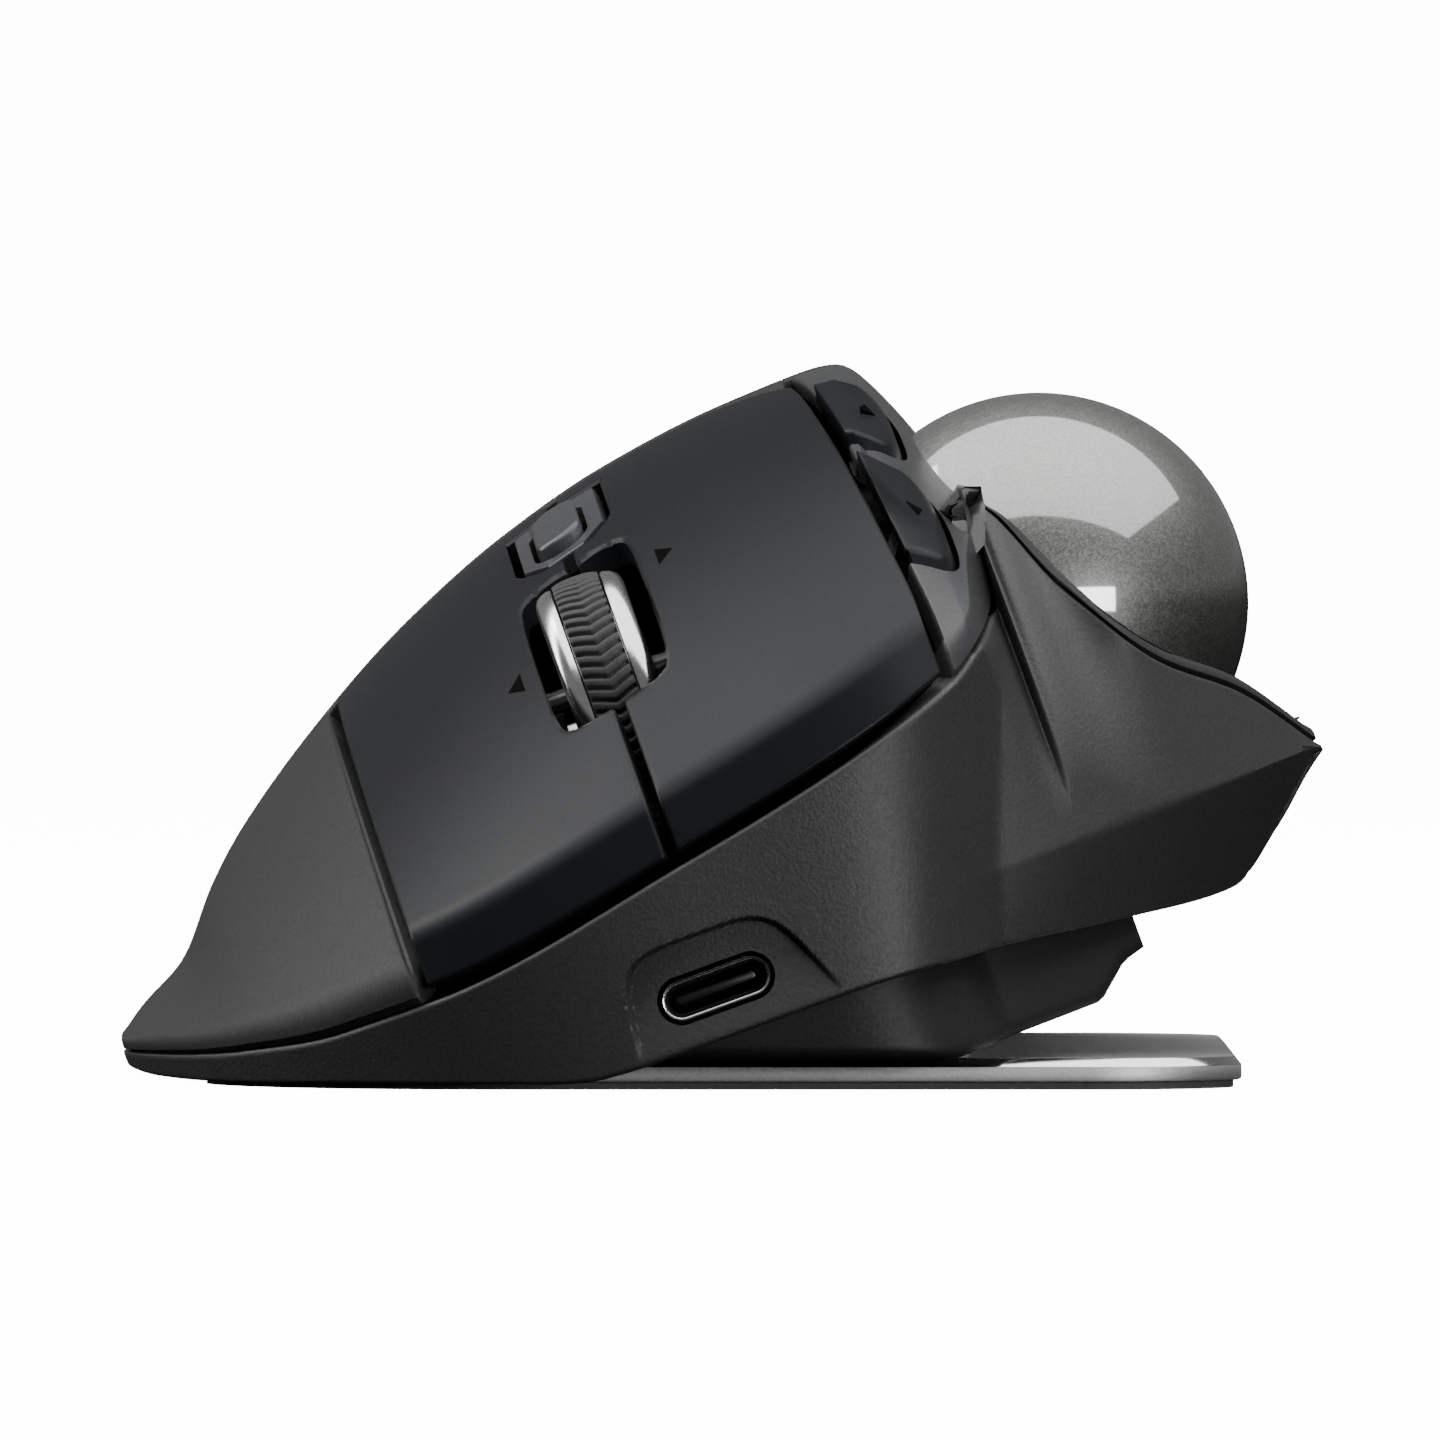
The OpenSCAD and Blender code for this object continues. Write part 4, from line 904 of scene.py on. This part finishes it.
s = stations(34, 6, 0.5)
q = stations(150, 60, 0.4)
front_u = 10.5 + s * (strip_far - 10.5)
start_v = front_v(front_u, curve(front_line, front_u)) + 0.25 + shoulder_back(front_u)
vv = start_v + 0.8 + q[:, None] * (button_back + gap - 0.95 - start_v)
near_u = curve(shoulder_edge, vv) + gap
uu = near_u + s * (strip_far - near_u)
strip_skin = rolled_front(uu[0], start_v, np.stack([uu, vv, top_w(uu, vv)], -1))
strip = panel("shoulder_strip", strip_skin, (0.1, 0.4, 0.35, 0.5), 1.6, (0, 0, 1))
side_spans = (("forward", (-30.2, -14.2), (9.6, 12.6)), ("back", (-48.6, -33.8), (10.4, 13.6)))


def d_outline(span, reach, grow):
    """A D: straight along the main button, round on the side away from it."""
    v0, v1 = span[0] - grow, span[1] + grow
    mid, half = (v0 + v1) / 2, (v1 - v0) / 2
    arc = np.linspace(-1, 1, 41)
    round_u = reach[1] + grow - (reach[1] - reach[0] + grow) * (1 - (1 - np.abs(arc) ** 3.4) ** (1 / 3.4))
    ring = [(float(u), mid + half * float(a)) for u, a in zip(round_u, arc)]
    spine = [(float(curve(shoulder_edge, np.array(v))) + gap + 0.12 - grow * (2.6 if grow > 0 else 0.4), v)
             for v in np.linspace(v1 - 0.3, v0 + 0.3, 14)]
    return ring + spine


cut(strip, *[prism(f"{name}_tool", d_outline(span, reach, 0.45)) for name, span, reach in side_spans])
strip.data.materials.append(moulded("strip_satin", (0.03, 0.031, 0.033), 0.4, 3800.0, 0.55, 0.08, 0.3))
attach(strip, "housing")
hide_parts("side_frame")

# Forward and back buttons: small D-shaped keys of smooth black plastic with a triangle on each. They stand
# a little above the strip, so their front faces catch the light.
for (name, span, reach), turn in zip(side_spans, (math.pi / 2, -math.pi / 2)):
    key = raised(lambda g: d_outline(span, reach, g), ((0, 0.5), (-0.05, 0.7), (-0.16, 0.84), (-0.34, 0.9),
                                                      (-0.8, 0.93)), -2.6, f"{name}_key")
    key.data.materials.append(satin_black)
    body = f"{name}_button"
    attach(key, body)
    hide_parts(body)
    mark(f"{name}_mark", body, (reach[0] + reach[1]) / 2 + 0.1, sum(span) / 2, 0.62, turn, 0.97)

# Palm shell: the big soft-touch cover, from the little finger's shelf round behind the buttons to the palm
# end, 2 mm thick. Its seam runs along the buttons' outer and rear edges.
seam_u = -38.3
left_u = arc_spread(trace[trace < seam_u], rear_v(trace[trace < seam_u]), 90)
palm_us = np.unique(np.round(np.concatenate([left_u, seam_u - np.array([0, 0.02, 0.08, 0.18, 0.32, 0.5]),
                                             np.arange(-37.7, 16.0, 0.5), [5.6, 5.7, 16.05]]), 4))
palm_us = palm_us[palm_us > -62.9]
corner_at, corner_run, strip_near = -1.6, 7.2, 5.65
corner_reach = corner_depth * np.clip((palm_us - corner_at) / corner_run, 0, 1) ** corner_bow
seam_v = button_back + gap - np.where(palm_us < strip_near, corner_reach, 0)
ahead = 1 - stations(70, 60, 0.5)[::-1]
start_v = front_v(palm_us, curve(front_line, palm_us))
turned_v = start_v + np.minimum(2.2, 0.2 * np.maximum(seam_v - start_v, 0.01))
first = turned_v + ahead[:, None] * (np.maximum(seam_v, turned_v + 0.01) - turned_v)
last = np.maximum(seam_v, turned_v + 0.01) + stations(90, 64, 0.5)[1:, None] * (
    rear_v(palm_us) - np.maximum(seam_v, turned_v + 0.01))
vv = np.concatenate([first, last])
uu = np.broadcast_to(palm_us, vv.shape)
palm_skin = rolled_front(palm_us, start_v, np.stack([uu, vv, top_w(uu, vv)], -1))
uu, vv = palm_skin[..., 0], palm_skin[..., 1]
hold = np.ones((vv.shape[0] - 1, vv.shape[1] - 1), bool)
hold[: len(first) + 7, palm_us[:-1] > seam_u - 0.01] = False
inward = np.hypot(np.maximum(seam_u - uu, 0), np.maximum(vv - seam_v, 0))
rolled = 0.4 * (1 - np.sqrt(1 - np.clip(1 - inward / 0.5, 0, 1) ** 2)) * (inward < 0.5)
palm_thick = np.clip((palm_us + 63.3) * 0.4, 0.5, 2.0)
palm = panel("palm_cover", palm_skin, (0.15, 0.45, 0, 0.4), palm_thick, (0, 0, 1), drop=rolled, keep=hold)
mouth_radius = ball_radius + 0.4
cut(palm, orb("ball_room", ball_at, mouth_radius, 24))
soft_touch = moulded("soft_touch", (0.017, 0.0175, 0.0187), 0.55, 3400.0, 0.5, 0.05, 0.2, 0.3)
palm.data.materials.append(soft_touch)
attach(palm, "housing")
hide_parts("palm_shell")

# Thumb rest: the dished cover over the wing, in the same soft-touch plastic, with the round mouth through
# which the ball stands out. Its front edge is the thin dark line above the wing.
rest_us = np.unique(np.round(np.concatenate([np.linspace(16.42, 18.5, 16), np.linspace(18.5, 35, 70),
                                             35 + 1.3 * np.sin(np.linspace(0, math.pi / 2, 24))]), 4))
start_v = front_v(rest_us, curve(front_line, rest_us) + 0.1) + shoulder_back(rest_us)
turned_v = start_v + np.minimum(1.2, 0.2 * (rear_v(rest_us) - start_v))
vv = turned_v + stations(150, 100, 0.5)[:, None] * (rear_v(rest_us) - turned_v)
uu = np.broadcast_to(rest_us, vv.shape)
rest_skin = rolled_front(rest_us, start_v, np.stack([uu, vv, top_w(uu, vv)], -1))
tucked = 1.5 * np.exp(-((rest_skin[..., 0] - 16.4) / 1.1) ** 2 - ((rest_skin[..., 1] - start_v) / 7) ** 2)
rest = panel("thumb_cover", rest_skin, (0.1, 0.45, 0.3, 0),
             np.clip((36.7 - rest_us) * 0.4, 0.45, 1.2), (0, 0, 1), drop=tucked)
cut(rest, orb("mouth_room", ball_at, mouth_radius, 40))
rest.data.materials.append(soft_touch)
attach(rest, "housing")
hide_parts("thumb_rest")
dress(satin_black, "precision_button")
